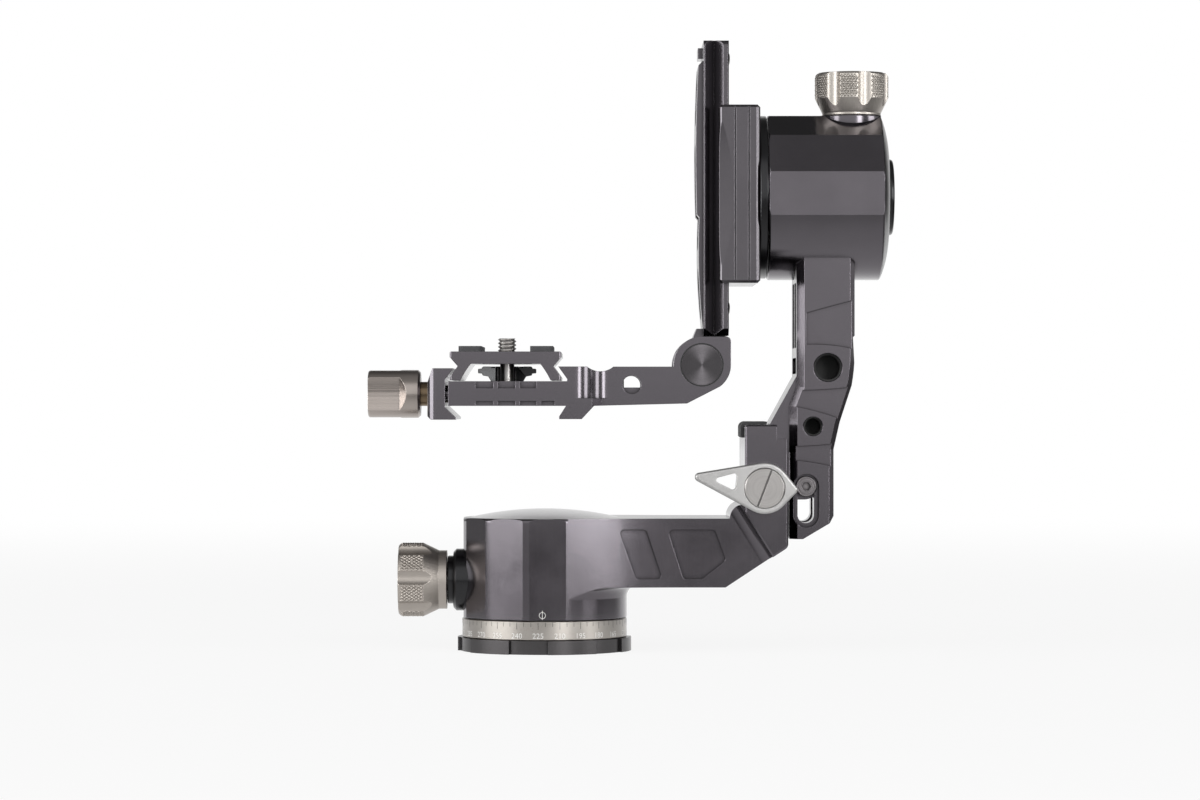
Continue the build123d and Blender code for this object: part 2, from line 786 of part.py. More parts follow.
knob_bore_len = knob_cone_h + knob_rim_h - knob_end_wall   # beyond the knob's foot
pan_knob_foot = -(collar_neck_out + joint_gap)
pan_knob_seat = Plane(origin=(pan_knob_foot, 0, lock_z), x_dir=(0, -1, 0), z_dir=(-1, 0, 0))
with BuildPart() as pan_knob:
    with Locations(pan_knob_seat.location * Location((0, 0, 0), (0, 0, pan_knob_turn))):
        add(lobed_knob(stud_r, knob_foot_h))
save(pan_knob, "pan_knob")

with BuildPart() as pan_knob_stud:
    bar_x(pan_knob_foot - knob_foot_h - knob_bore_len, -shoe_out, stud_r, lock_z)
save(pan_knob_stud, "pan_knob_stud")

with BuildPart() as pan_brake_shoe:
    bar_x(-shoe_out, -spindle_r, shoe_r, lock_z)
    bar_z(lock_z - shoe_r, lock_z + shoe_r, spindle_r + running_gap, mode=Mode.SUBTRACT)
save(pan_brake_shoe, "pan_brake_shoe")

# ================================================================ fold lever
shoe_face = cheek_inside + slide_gap / 2
shoe_back = shoe_face + clamp_shoe_thick - slide_gap
with BuildPart() as fold_clamp_shoe:
    with BuildSketch(Plane.XZ.offset(shoe_face)):
        with Locations((clamp_shoe_x, lever_z)):
            SlotOverall(clamp_shoe_len, 2 * clamp_shoe_half)
    extrude(amount=shoe_back - shoe_face)
save(fold_clamp_shoe, "fold_clamp_shoe")

lever_face = lever_base + lever_thick
with BuildPart() as fold_lever:
    with BuildSketch(Plane.XZ.offset(lever_base)):
        with BuildSketch(mode=Mode.PRIVATE) as tip_ends:
            with Locations((lever_tip_x + lever_tip_r, lever_tip_z)):
                Circle(lever_tip_r)
            with Locations((lever_x, lever_z)):
                Circle(lever_hub_r)
            with Locations((lever_nose_x - lever_nose_r, lever_nose_z)):
                Circle(lever_nose_r)
        make_hull(tip_ends.sketch.edges())
    extrude(amount=lever_thick)
    with BuildSketch(Plane.XZ.offset(lever_base)) as loop_window:
        with BuildLine():
            Polyline(*lever_window, close=True)
        make_face()
        fillet(loop_window.vertices(), lever_window_round)
    extrude(amount=lever_thick, mode=Mode.SUBTRACT)
    bar_y(lever_x, -lever_face, -lever_base, lever_stud_r, lever_z, mode=Mode.SUBTRACT)
    bar_y(lever_x, -lever_face, -lever_face + lever_cap_h, lever_cap_r, lever_z, mode=Mode.SUBTRACT)
    fillet(fold_lever.faces().filter_by(Axis.Y).sort_by(Axis.Y)[0].outer_wire().edges(), lever_edge_round)
save(fold_lever, "fold_lever")

with BuildPart() as fold_lever_cap:
    cap_face = lever_face + lever_cap_proud
    bar_y(lever_x, -cap_face, -lever_face + lever_cap_h, lever_cap_r - lever_cap_gap, lever_z)
    chamfer(fold_lever_cap.edges().filter_by(GeomType.CIRCLE).sort_by(Axis.Y)[0], edge_bevel)
    with Locations(Location((lever_x, -cap_face, lever_z), (0, lever_slot_lean, 0))):
        Box(lever_slot_wide, 2 * lever_slot_deep, 3 * lever_cap_r, mode=Mode.SUBTRACT)
save(fold_lever_cap, "fold_lever_cap")

with BuildPart() as fold_lever_stud:
    bar_y(lever_x, -lever_face + lever_cap_h, -shoe_back, lever_stud_r, lever_z)
save(fold_lever_stud, "fold_lever_stud")

# ================================================================ fold pivot
head_seat = arm_half - slot_recess_depth
shank_r = pivot_r - running_gap
with BuildPart() as fold_pivot_bolt:
    bar_y(pivot_x, -head_seat - pivot_head_h, -head_seat - slide_gap, pivot_head_r, pivot_z)
    chamfer(fold_pivot_bolt.edges().filter_by(GeomType.CIRCLE).sort_by(Axis.Y)[0], pivot_head_bevel)
    bar_y(pivot_x, -head_seat - slide_gap, head_seat, shank_r, pivot_z)
    with BuildSketch(Plane.XZ.offset(head_seat + pivot_head_h)):
        with Locations((pivot_x, pivot_z)):
            RegularPolygon(pivot_socket_r, 6)
    extrude(amount=-pivot_socket_h, mode=Mode.SUBTRACT)
save(fold_pivot_bolt, "fold_pivot_bolt")

with BuildPart() as fold_pivot_nut:
    bar_y(pivot_x, head_seat + slide_gap, head_seat + pivot_head_h, pivot_head_r, pivot_z)
    chamfer(fold_pivot_nut.edges().filter_by(GeomType.CIRCLE).sort_by(Axis.Y)[-1], pivot_head_bevel)
save(fold_pivot_nut, "fold_pivot_nut")

# ================================================================ upright arm with tilt housing
with BuildPart() as arm_form:
    with BuildSketch(Plane.XZ):
        with BuildLine():
            thigh = (arm_right - arm_thigh[0], arm_thigh[1])
            chin_x = arm_right - arm_chin_in
            Polyline((arm_right, arm_straight_z), (arm_right, tilt_z), (arm_left, tilt_z),
                     (arm_left, arm_jog_high), (arm_low_left, arm_jog_low), (arm_low_left, arm_floor),
                     (arm_low_left + arm_heel, arm_floor), (arm_right - arm_chin[0], arm_chin[1]),
                     (chin_x, arm_chin_z), (chin_x, arm_knee_z),
                     (arm_right - arm_calf[0], arm_calf[1]), thigh)
            ThreePointArc(thigh, (arm_right - arm_bulge[0], arm_bulge[1]), (arm_right, arm_straight_z))
        make_face()
    extrude(amount=arm_half, both=True)
    flank_edges = arm_form.faces().filter_by(Axis.Y).edges()
    left_edges = flank_edges.filter_by(lambda e: e.center().X < arm_left + edge_bevel
                                       and e.center().Z > foot_tip_z)
    right_edges = flank_edges.filter_by(lambda e: e.center().X > chin_x - edge_bevel)
    chamfer(left_edges, arm_bevel_left)
    chamfer(right_edges, arm_bevel_right)
    # shallow hollow in the right side, opposite the head's waist
    with BuildSketch(Plane.XZ):
        with BuildLine():
            Polyline((arm_right + overshoot, relief_low), (arm_right, relief_low),
                     (arm_right - relief_depth, relief_high - relief_depth), (arm_right, relief_high),
                     (arm_right + overshoot, relief_high), close=True)
        make_face()
    extrude(amount=arm_half, both=True, mode=Mode.SUBTRACT)

with BuildPart() as foot_form:
    with BuildSketch(Plane.XZ):
        with BuildLine():
            Polyline((arm_left, foot_high), (foot_left, block_top), (foot_left, foot_tip_z),
                     (arm_low_left, foot_tip_z), (arm_low_left + foot_root, foot_tip_z + foot_root),
                     (arm_left + foot_root, foot_high), close=True)
        make_face()
    extrude(amount=arm_foot_half, both=True)
    block_between((foot_left, -arm_half, foot_tip_z), (arm_low_left, arm_half, foot_wide_top))
    fillet(foot_form.edges().filter_by(Axis.Y).sort_by_distance((foot_left, 0, foot_tip_z))[0],
           foot_tip_round)


def arc_band(left, low_z, low_rise, high_z, high_rise):
    """Band across the arm's flank between two arcs, each given by its end heights and its rise."""
    right = arm_right + overshoot
    middle = (left + right) / 2
    with BuildSketch(Plane.XZ) as band:
        with BuildLine():
            ThreePointArc((left, low_z[0]), (middle, sum(low_z) / 2 + low_rise), (right, low_z[1]))
            Line((right, low_z[1]), (right, high_z[1]))
            ThreePointArc((right, high_z[1]), (middle, sum(high_z) / 2 + high_rise), (left, high_z[0]))
            Line((left, high_z[0]), (left, low_z[0]))
        make_face()
    return band.sketch


panel_bands = (
    arc_band(arm_left + arm_bevel_left + band_inset, *band_high),
    arc_band(arm_low_left - overshoot, *band_mid),
    arc_band(arm_low_left - overshoot, *band_low),
)

# round boss under the tilt knob, trimmed flush with the end of the housing
with BuildPart() as tilt_boss:
    bar_z(tilt_z + tilt_bore_r, tilt_boss_top, tilt_boss_r, tilt_lock_x)
    chamfer(tilt_boss.edges().filter_by(GeomType.CIRCLE).sort_by(Axis.Z)[-1], tilt_boss_bevel)
    block_between((tilt_right, -tilt_boss_r, tilt_z),
                  (tilt_lock_x + 2 * tilt_boss_r, tilt_boss_r, tilt_boss_top), mode=Mode.SUBTRACT)

tilt_shoe_top = tilt_z + drum_r + tilt_shoe_len
slot_centre_z = pivot_z - lift_travel / 2
with BuildPart() as upper_arm:
    bar_x(tilt_left, tilt_right, tilt_r, tilt_z)
    chamfer(upper_arm.edges().filter_by(GeomType.CIRCLE), tilt_edge_bevel)
    tilt_facet_half = tilt_r * cos(radians(tilt_facet_arc / 2))
    for index in range(tilt_facet_count):
        facet_turn = Location((0, tilt_z, 0), (0, 0, 180.0 - index * tilt_facet_arc))
        with BuildSketch(Plane.YZ.offset(tilt_left) * facet_turn):
            with Locations((tilt_facet_half + facet_cut_thick / 2, 0)):
                Rectangle(facet_cut_thick, tilt_r)
        extrude(amount=tilt_right - tilt_left, mode=Mode.SUBTRACT)
    add(tilt_boss.part)
    add(arm_form.part)
    add(foot_form.part)
    # recessed panels on both flanks
    for side in (1, -1):
        for band in panel_bands:
            flank = band.moved(Location((0, side * (arm_half - panel_step / 2), 0)))
            extrude(flank, amount=panel_step / 2, both=True, mode=Mode.SUBTRACT)
    # bores for the tilt shaft and the lock
    bar_x(tilt_left, tilt_right, tilt_bore_r, tilt_z, mode=Mode.SUBTRACT)
    bar_z(tilt_z, tilt_boss_top, stud_r + slide_gap, tilt_lock_x, mode=Mode.SUBTRACT)
    bar_z(tilt_z, tilt_shoe_top + shoe_room, shoe_r + slide_gap, tilt_lock_x, mode=Mode.SUBTRACT)
    # fork that straddles the pivot tongue
    block_between((foot_left - overshoot, -fork_half, 0), (arm_right, fork_half, fork_top),
                  mode=Mode.SUBTRACT)
    # counterbored slots for the pivot bolt
    for side in (1, -1):
        with BuildSketch(Plane.XZ.offset(side * arm_half)):
            with Locations(Location((pivot_x, slot_centre_z), 90)):
                SlotCenterToCenter(lift_travel, 2 * slot_recess_half)
        extrude(amount=-side * slot_recess_depth, mode=Mode.SUBTRACT)
    with BuildSketch(Plane.XZ):
        with Locations(Location((pivot_x, slot_centre_z), 90)):
            SlotCenterToCenter(lift_travel, 2 * slot_half)
    extrude(amount=arm_half, both=True, mode=Mode.SUBTRACT)
    # threaded accessory holes in the near flank
    for (hole_x, hole_z), hole_r in ((hole_3_8, thread_3_8_r), (hole_1_4, thread_1_4_r)):
        with Locations(Location((hole_x, -arm_half, hole_z), (90, 0, 0))):
            CounterSinkHole(hole_r, hole_r + thread_mouth, depth=accessory_hole_depth)
    # weight-saving pockets in the inner side: a long pair with a rib between them and a short one
    with BuildSketch(Plane.YZ.offset(arm_left)) as pocket_mouths:
        for side in (1, -1):
            with Locations((side * (inner_pocket_half + inner_pocket_rib) / 2, sum(inner_pocket_long) / 2)):
                RectangleRounded(inner_pocket_half - inner_pocket_rib,
                                 inner_pocket_long[1] - inner_pocket_long[0], inner_pocket_round)
        with Locations((0, sum(inner_pocket_short) / 2)):
            RectangleRounded(2 * inner_pocket_half, inner_pocket_short[1] - inner_pocket_short[0],
                             inner_pocket_round)
    extrude(amount=inner_pocket_depth, mode=Mode.SUBTRACT)
save(upper_arm, "upper_arm")

with BuildPart() as tilt_end_cap:
    plug_left = tilt_right - end_cap_plug
    with BuildSketch(Plane.XZ):
        with BuildLine():
            Polyline((end_cap_out, tilt_z + button_r), (end_cap_out, tilt_z), (plug_left, tilt_z),
                     (plug_left, tilt_z + tilt_bore_r), (tilt_right, tilt_z + tilt_bore_r),
                     (tilt_right, tilt_z + end_cap_r))
            ThreePointArc((tilt_right, tilt_z + end_cap_r),
                          (end_cap_out - end_cap_bulge[0], tilt_z + end_cap_bulge[1]),
                          (end_cap_out, tilt_z + button_r))
        make_face()
    revolve(axis=Axis((0, 0, tilt_z), (1, 0, 0)))
save(tilt_end_cap, "tilt_end_cap")

with BuildPart() as tilt_cap_button:
    bar_x(end_cap_out, button_out, button_r, tilt_z)
    fillet(tilt_cap_button.edges().filter_by(GeomType.CIRCLE).sort_by(Axis.X)[-1], button_round)
save(tilt_cap_button, "tilt_cap_button")

with BuildPart() as tilt_bearings:
    for bearing_x in (tilt_bearing_a_x, tilt_bearing_b_x):
        with Locations(Location((bearing_x + tilt_bearing_h / 2, 0, tilt_z), (0, 90, 0))):
            add(bearing_ring(tilt_shaft_r + running_gap, tilt_bore_r, tilt_bearing_h))
save(tilt_bearings, "tilt_bearings")

tilt_knob_seat = Plane(origin=(tilt_lock_x, 0, tilt_knob_foot_z), x_dir=(0, -1, 0), z_dir=(0, 0, 1))
with BuildPart() as tilt_knob:
    with Locations(tilt_knob_seat.location * Location((0, 0, 0), (0, 0, tilt_knob_turn))):
        add(lobed_knob(stud_r, tilt_knob_foot_h))
save(tilt_knob, "tilt_knob")

with BuildPart() as tilt_knob_stud:
    bar_z(tilt_shoe_top, tilt_knob_foot_z + tilt_knob_foot_h + knob_bore_len, stud_r, tilt_lock_x)
save(tilt_knob_stud, "tilt_knob_stud")

with BuildPart() as tilt_brake_shoe:
    bar_z(tilt_z, tilt_shoe_top, shoe_r, tilt_lock_x)
    bar_x(drum_left, drum_right, drum_r + running_gap, tilt_z, mode=Mode.SUBTRACT)
save(tilt_brake_shoe, "tilt_brake_shoe")

# ================================================================ tilting shaft and rail clamp
nut_left = drum_right - tilt_nut_h
with BuildPart() as tilt_spindle:
    bar_x(tilt_ring_left, tilt_ring_right, tilt_ring_r, tilt_z)
    fillet(tilt_spindle.edges().filter_by(GeomType.CIRCLE), tilt_ring_round)
    bar_x(tilt_ring_right, drum_left, tilt_shaft_r, tilt_z)
    bar_x(drum_left, drum_right + tilt_nut_h - joint_gap, drum_shaft_r, tilt_z)
save(tilt_spindle, "tilt_spindle")

with BuildPart() as tilt_brake_drum:
    bar_x(drum_left, nut_left, drum_r, tilt_z)
    bar_x(drum_left, nut_left, drum_shaft_r, tilt_z, mode=Mode.SUBTRACT)
save(tilt_brake_drum, "tilt_brake_drum")

with BuildPart() as tilt_spindle_nut:
    bar_x(nut_left, drum_right, tilt_nut_r, tilt_z)
    bar_x(nut_left, drum_right, drum_shaft_r, tilt_z, mode=Mode.SUBTRACT)
save(tilt_spindle_nut, "tilt_spindle_nut")

rail_seat_x = rail_right + slide_gap
jaw_axis_x = (rail_seat_x + clamp_right) / 2
grip_half = dovetail_half + slide_gap
lip_half = dovetail_waist + (clamp_left - rail_waist_x) + slide_gap
clamp_low = tilt_z - clamp_half_h
clamp_high = tilt_z + clamp_half_h
screw_spots = [(across, tilt_z + height) for height in (-clamp_screw_z, clamp_screw_z)
               for across in (-clamp_screw_y, clamp_screw_y)]
# the scoop on the near side is a shallow slice of a large cylinder that leans into the left edge
scoop_run = sqrt(clamp_scallop_reach ** 2 + clamp_scallop_deep ** 2)
scoop_sink = clamp_scallop_deep * clamp_scallop_reach / scoop_run
scoop_round = (clamp_scallop_half ** 2 + scoop_sink ** 2) / (2 * scoop_sink)
with BuildPart() as rail_clamp:
    block_between((clamp_left, -clamp_near, clamp_low), (clamp_right, clamp_far, clamp_high))
    fillet(rail_clamp.edges().filter_by(Axis.Z), clamp_corner)
    chamfer(rail_clamp.edges().group_by(Axis.Z)[-1] + rail_clamp.edges().group_by(Axis.Z)[0], clamp_bevel)
    # dovetail seat, open to the far side where the moving jaw closes it
    with BuildSketch(Plane.XY.offset(clamp_low)):
        with BuildLine():
            Polyline((clamp_left, -lip_half), (clamp_left + grip_half - lip_half, -grip_half),
                     (rail_seat_x, -grip_half), (rail_seat_x, clamp_far), (clamp_left, clamp_far), close=True)
        make_face()
    extrude(amount=clamp_high - clamp_low, mode=Mode.SUBTRACT)
    with BuildSketch(Plane(origin=(clamp_left, -clamp_near + clamp_scallop_deep, tilt_z), x_dir=(0, 0, 1),
                           z_dir=(clamp_scallop_reach, -clamp_scallop_deep, 0))):
        with Locations((0, scoop_round)):
            Circle(scoop_round)
    extrude(amount=2 * clamp_scallop_reach, both=True, mode=Mode.SUBTRACT)
    for groove_x in clamp_groove_x:
        block_between((groove_x, -clamp_near, clamp_low),
                      (groove_x + clamp_groove_wide, -clamp_near + clamp_groove_deep, clamp_high),
                      mode=Mode.SUBTRACT)
    for screw_y, screw_z in screw_spots:
        bar_x(rail_seat_x, rail_seat_x + clamp_screw_head_h, clamp_screw_head_r, screw_z, screw_y,
              mode=Mode.SUBTRACT)
        bar_x(rail_seat_x, clamp_right, clamp_screw_r, screw_z, screw_y, mode=Mode.SUBTRACT)
    # draw screw and guide pins of the moving jaw
    bar_y(jaw_axis_x, -clamp_near + draw_screw_tip - blind_room, clamp_far, draw_screw_r + slide_gap, tilt_z,
          mode=Mode.SUBTRACT)
    for pin_z in (tilt_z - jaw_guide_z, tilt_z + jaw_guide_z):
        bar_y(jaw_axis_x, clamp_far - jaw_guide_len, clamp_far, jaw_guide_r + slide_gap, pin_z,
              mode=Mode.SUBTRACT)
save(rail_clamp, "rail_clamp")

with BuildPart() as rail_clamp_screws:
    for screw_y, screw_z in screw_spots:
        bar_x(rail_seat_x + clamp_screw_sunk, rail_seat_x + clamp_screw_head_h,
              clamp_screw_head_r - clamp_screw_gap, screw_z, screw_y)
        bar_x(rail_seat_x + clamp_screw_head_h, clamp_right, clamp_screw_r, screw_z, screw_y)
save(rail_clamp_screws, "rail_clamp_screws")

with BuildPart() as rail_jaw:
    far_face = clamp_far + joint_gap
    with BuildSketch(Plane.XY.offset(clamp_low + clamp_corner)):
        with BuildLine():
            Polyline((clamp_left, lip_half), (clamp_left + grip_half - lip_half, grip_half),
                     (rail_seat_x, grip_half), (rail_seat_x, far_face), (clamp_right, far_face),
                     (clamp_right, clamp_jaw_far), (clamp_left, clamp_jaw_far), close=True)
        make_face()
    extrude(amount=2 * (clamp_half_h - clamp_corner))
    fillet(rail_jaw.edges().filter_by(Axis.Z).sort_by(Axis.Y)[-2:], clamp_corner)
    for pin_z in (tilt_z - jaw_guide_z, tilt_z + jaw_guide_z):
        bar_y(jaw_axis_x, clamp_far - jaw_guide_len + jaw_guide_sunk, clamp_jaw_far - jaw_guide_sunk,
              jaw_guide_r, pin_z)
    bar_y(jaw_axis_x, far_face, clamp_jaw_far, draw_screw_r + slide_gap, tilt_z, mode=Mode.SUBTRACT)
save(rail_jaw, "rail_jaw")


def slim_knob(radius, length, bore):
    """Turned knob about Z whose wide scallops run out before its foot, foot at the origin."""
    half_arc = radians(slim_scallop_arc / 2)
    cutter_x = radius * cos(half_arc) + sqrt(slim_scallop_r ** 2 - (radius * sin(half_arc)) ** 2)
    bite = radius + slim_scallop_r - cutter_x
    cut_floor = length * (1 - slim_scallop_share)
    with BuildPart() as cutter:
        bar_z(cut_floor + slim_runout, length, slim_scallop_r)
        with Locations((0, 0, cut_floor + slim_runout / 2)):
            Cone(slim_scallop_r - bite, slim_scallop_r, slim_runout)
    with BuildPart() as knob:
        bar_z(0, length, radius)
        fillet(knob.edges().filter_by(GeomType.CIRCLE).sort_by(Axis.Z)[-1], slim_edge_round)
        chamfer(knob.edges().filter_by(GeomType.CIRCLE).sort_by(Axis.Z)[0], slim_foot_bevel)
        with PolarLocations(cutter_x, slim_scallops):
            add(cutter.part, mode=Mode.SUBTRACT)
        bar_z(0, length - knob_end_wall, bore, mode=Mode.SUBTRACT)
    return knob.part


rail_knob_seat = Plane(origin=(jaw_axis_x, clamp_knob_near, tilt_z), x_dir=(1, 0, 0), z_dir=(0, 1, 0))
with BuildPart() as rail_knob:
    with Locations(rail_knob_seat.location):
        add(slim_knob(clamp_knob_r, clamp_knob_len, draw_screw_r))
save(rail_knob, "rail_knob")

with BuildPart() as rail_knob_screw:
    bar_y(jaw_axis_x, -clamp_near + draw_screw_tip, clamp_knob_near + clamp_knob_len - knob_end_wall,
          draw_screw_r, tilt_z)
    bar_y(jaw_axis_x, clamp_jaw_far + slide_gap, clamp_knob_near, draw_collar_r, tilt_z)
save(rail_knob_screw, "rail_knob_screw")

# ================================================================ swing rail
# side view of the rail: round upper corners and bevelled lower ones
with BuildPart() as rail_side_form:
    with BuildSketch(Plane.YZ.offset(rail_left)):
        with BuildLine():
            foot_half = dovetail_half - rail_foot_bevel_y
            foot_shoulder = rail_bottom + rail_foot_bevel_z
            Polyline((-foot_half, rail_bottom), (foot_half, rail_bottom), (dovetail_half, foot_shoulder),
                     (dovetail_half, rail_top), (-dovetail_half, rail_top), (-dovetail_half, foot_shoulder),
                     close=True)
        make_face()
    extrude(amount=rail_right - rail_left)
    fillet(rail_side_form.edges().filter_by(Axis.X).group_by(Axis.Z)[-1], rail_top_round)

flank_run = dovetail_half - dovetail_waist
screw_heights = (rail_top - stop_screw_end[0], rail_bottom + stop_screw_end[1])
with BuildPart() as swing_rail:
    with BuildSketch(Plane.XY.offset(rail_bottom)):
        with BuildLine():
            for side in (1, -1):
                Polyline((rail_left, 0), (rail_left, side * dovetail_half),
                         (rail_waist_x - flank_run, side * dovetail_half),
                         (rail_waist_x, side * dovetail_waist),
                         (rail_waist_x + flank_run, side * dovetail_half),
                         (rail_right - rail_seat_bevel_x, side * dovetail_half),
                         (rail_right, side * (dovetail_half - rail_seat_bevel_y)), (rail_right, 0))
        make_face()
    extrude(amount=rail_top - rail_bottom)
    add(rail_side_form.part, mode=Mode.INTERSECT)
    # shallow channel on the seat side
    block_between((rail_right - rail_channel_deep, -rail_channel_half, rail_bottom + rail_channel_end),
                  (rail_right, rail_channel_half, rail_top - rail_channel_end), mode=Mode.SUBTRACT)
    # long crowned rib on the inner side, with a short bar above it on the far half
    with BuildSketch(Plane.XZ.offset(-rib_half)):
        with BuildLine():
            start, low_a, low_b, step, high_a, high_b, end = [
                (rail_left - proud, rail_bottom + height)
                for proud, height in ((0.0, rib_end), *rib_low_crown, rib_step, *rib_high_crown,
                                      rib_top_step)]
            ThreePointArc(start, low_a, low_b)
            Line(low_b, step)
            ThreePointArc(step, high_a, high_b)
            Polyline(high_b, end, (rail_left + rib_root, end[1]), (rail_left + rib_root, start[1]), start)
        make_face()
    extrude(amount=2 * rib_half)
    block_between((rail_left - rib_bar_proud, rib_bar_near, rail_top - rib_bar_h),
                  (rail_left, rib_half, rail_top - rib_end))
    # weight-saving windows through the rail
    for low, high in rail_windows:
        with BuildSketch(Plane.YZ.offset(rail_left - rib_reach)):
            with Locations(Location((0, rail_bottom + (low + high) / 2), 90)):
                SlotOverall(high - low, 2 * rail_window_half)
        extrude(amount=rail_right - rail_left + rib_reach, mode=Mode.SUBTRACT)
    # knuckle for the platform hinge
    with BuildSketch(Plane.XZ.offset(-knuckle_half)):
        with Locations((hinge_x, hinge_z)):
            Circle(knuckle_r)
        with BuildLine():
            knuckle_top = rail_bottom + knuckle_root
            Polyline((hinge_x - knuckle_r + knuckle_inset, hinge_z), (rail_left - knuckle_heel, knuckle_top),
                     (rail_right - knuckle_toe, knuckle_top), (hinge_x + knuckle_r, hinge_z), close=True)
        make_face()
    extrude(amount=2 * knuckle_half)
    bar_y(hinge_x, -knuckle_half, knuckle_half, hinge_pin_r + running_gap, hinge_z, mode=Mode.SUBTRACT)
    for screw_z in screw_heights:
        bar_x(rail_right - stop_screw_len, rail_right, stop_screw_shank_r, screw_z, mode=Mode.SUBTRACT)
save(swing_rail, "swing_rail")

with BuildPart() as rail_stop_screws:
    for screw_z in screw_heights:
        bar_x(rail_right - stop_screw_len, rail_right, stop_screw_shank_r, screw_z)
        bar_x(rail_right, rail_right + stop_screw_head_h, stop_screw_r, screw_z)
save(rail_stop_screws, "rail_stop_screws")

# ================================================================ camera platform
plan_top = ear_top + ear_r
with BuildPart() as platform_plan:
    # the ledge along the underside is full width and turns in at a slant
    with BuildSketch(Plane.XY.offset(jaw_bottom)):
        with BuildLine():
            Polyline((bed_left, platform_half), (ledge_turn, platform_half), (ledge_right, ear_half),
                     (ear_right, ear_half), (ear_right, -ear_half), (ledge_right, -ear_half),
                     (ledge_turn, -platform_half), (bed_left, -platform_half), close=True)
        make_face()
    extrude(amount=ledge_top - jaw_bottom)
    # above the ledge the sides swing in along a pair of equal arcs
    with BuildSketch(Plane.XY.offset(ledge_top)):
        with BuildLine():
            for side in (1, -1):
                bend = ((waist_from + waist_to) / 2, side * (platform_half + ear_half) / 2)
                Polyline((bed_left, 0), (bed_left, side * platform_half),
                         (waist_from, side * platform_half))
                TangentArc((waist_from, side * platform_half), bend, tangent=(1, 0))
                TangentArc((waist_to, side * ear_half), bend, tangent=(-1, 0))
                Polyline((waist_to, side * ear_half), (ear_right, side * ear_half), (ear_right, 0))
        make_face()
    extrude(amount=plan_top - ledge_top)

guide_left = bed_left + platform_guide_len
with BuildPart() as camera_platform:
    with BuildSketch(Plane.XZ):
        with BuildLine():
            ear_flat = (hinge_x - sqrt(ear_r ** 2 - (ear_top - hinge_z) ** 2), ear_top)
            ear_foot = (hinge_x - sqrt(ear_r ** 2 - (platform_top - hinge_z) ** 2), platform_top)
            RadiusArc(ear_flat, ear_foot, -ear_r)
            Polyline(ear_foot, (bed_lip_x, platform_top), (bed_right, bed_lip_z), (bed_right, bed_top),
                     (bed_left, bed_top), (bed_left, platform_floor), (hook_root_x, platform_floor),
                     (hook_tip_x, hook_high_z), (hook_tip_x, hook_low_z), (hook_right_x, hook_low_z),
                     (hook_heel_x, platform_floor), neck_floor, neck_rise)
            ThreePointArc(neck_rise, neck_round, (ear_right, hinge_z))
            Polyline((ear_right, hinge_z), (ear_right, ear_top), ear_flat)
        make_face()
    extrude(amount=platform_half, both=True)
    add(platform_plan.part, mode=Mode.INTERSECT)
    fillet(camera_platform.edges().filter_by(Axis.Y).sort_by_distance((ear_right, 0, ear_top))[0], ear_corner)
    # closed channel in the bed for the end of the camera screw
    block_between((plate_x - ring_root_r, -channel_half, bed_top - channel_depth),
                  (plate_x + ring_root_r, channel_half, bed_top), mode=Mode.SUBTRACT)
    # shallow side pockets between posts, above and below the bed's flanks
    for side in (1, -1):
        face_y = side * (platform_half - side_pocket_deep / 2)
        for index, (post_a, post_b) in enumerate(zip(post_x, post_x[1:])):
            middle = (post_a + post_b) / 2
            wide = post_b - post_a - 2 * post_half
            with Locations((middle, face_y, platform_floor + underside_depth / 2)):
                Box(wide, side_pocket_deep, underside_depth, mode=Mode.SUBTRACT)
            if index < upper_pockets:
                with Locations((middle, face_y, bed_top - channel_depth / 2)):
                    Box(wide, side_pocket_deep, channel_depth, mode=Mode.SUBTRACT)
    # scoop across the top and open pocket in the neck
    bar_y(scoop_x, -platform_half, platform_half, scoop_r, platform_top - scoop_deep + scoop_r,
          mode=Mode.SUBTRACT)
    with BuildSketch(Plane.XY.offset(neck_pocket_floor)):
        with Locations((sum(neck_pocket_x) / 2, 0)):
            RectangleRounded(neck_pocket_x[1] - neck_pocket_x[0], 2 * neck_pocket_half, neck_pocket_round)
    extrude(amount=platform_top - neck_pocket_floor, mode=Mode.SUBTRACT)
    # gap for the rail's knuckle
    block_between((hinge_x - knuckle_r - knuckle_room, -ear_inside, hook_low_z),
                  (ear_right, ear_inside, plan_top), mode=Mode.SUBTRACT)
    bar_y(hinge_x, -ear_half, ear_half, hinge_pin_r, hinge_z, mode=Mode.SUBTRACT)
    for side in (1, -1):
        with Locations(Location((hinge_x, side * (ear_half - hinge_cap_h / 2), hinge_z), (90, 0, 0))):
            Cylinder(hinge_cap_r + joint_gap, hinge_cap_h, mode=Mode.SUBTRACT)
    # threaded hole through both walls of the neck
    for wall in ((-ear_half, -neck_pocket_half), (neck_pocket_half, ear_half)):
        bar_y(hole_platform[0], *wall, thread_1_4_r, hole_platform[1], mode=Mode.SUBTRACT)
    # clamp screw and guide pins
    bar_x(bed_left, platform_screw_end + blind_room, platform_screw_r + slide_gap, platform_axis_z,
          mode=Mode.SUBTRACT)
    for pin_y in (-platform_guide_y, platform_guide_y):
        bar_x(bed_left, guide_left + blind_room, jaw_guide_r + slide_gap, platform_axis_z, pin_y,
              mode=Mode.SUBTRACT)
save(camera_platform, "camera_platform")

with BuildPart() as hinge_pin:
    bar_y(hinge_x, -ear_half + hinge_cap_h, ear_half - hinge_cap_h, hinge_pin_r, hinge_z)
save(hinge_pin, "hinge_pin")

with BuildPart() as hinge_pin_caps:
    bar_y(hinge_x, -ear_half, -ear_half + hinge_cap_h, hinge_cap_r, hinge_z)
    bar_y(hinge_x, ear_half - hinge_cap_h, ear_half, hinge_cap_r, hinge_z)
save(hinge_pin_caps, "hinge_pin_caps")

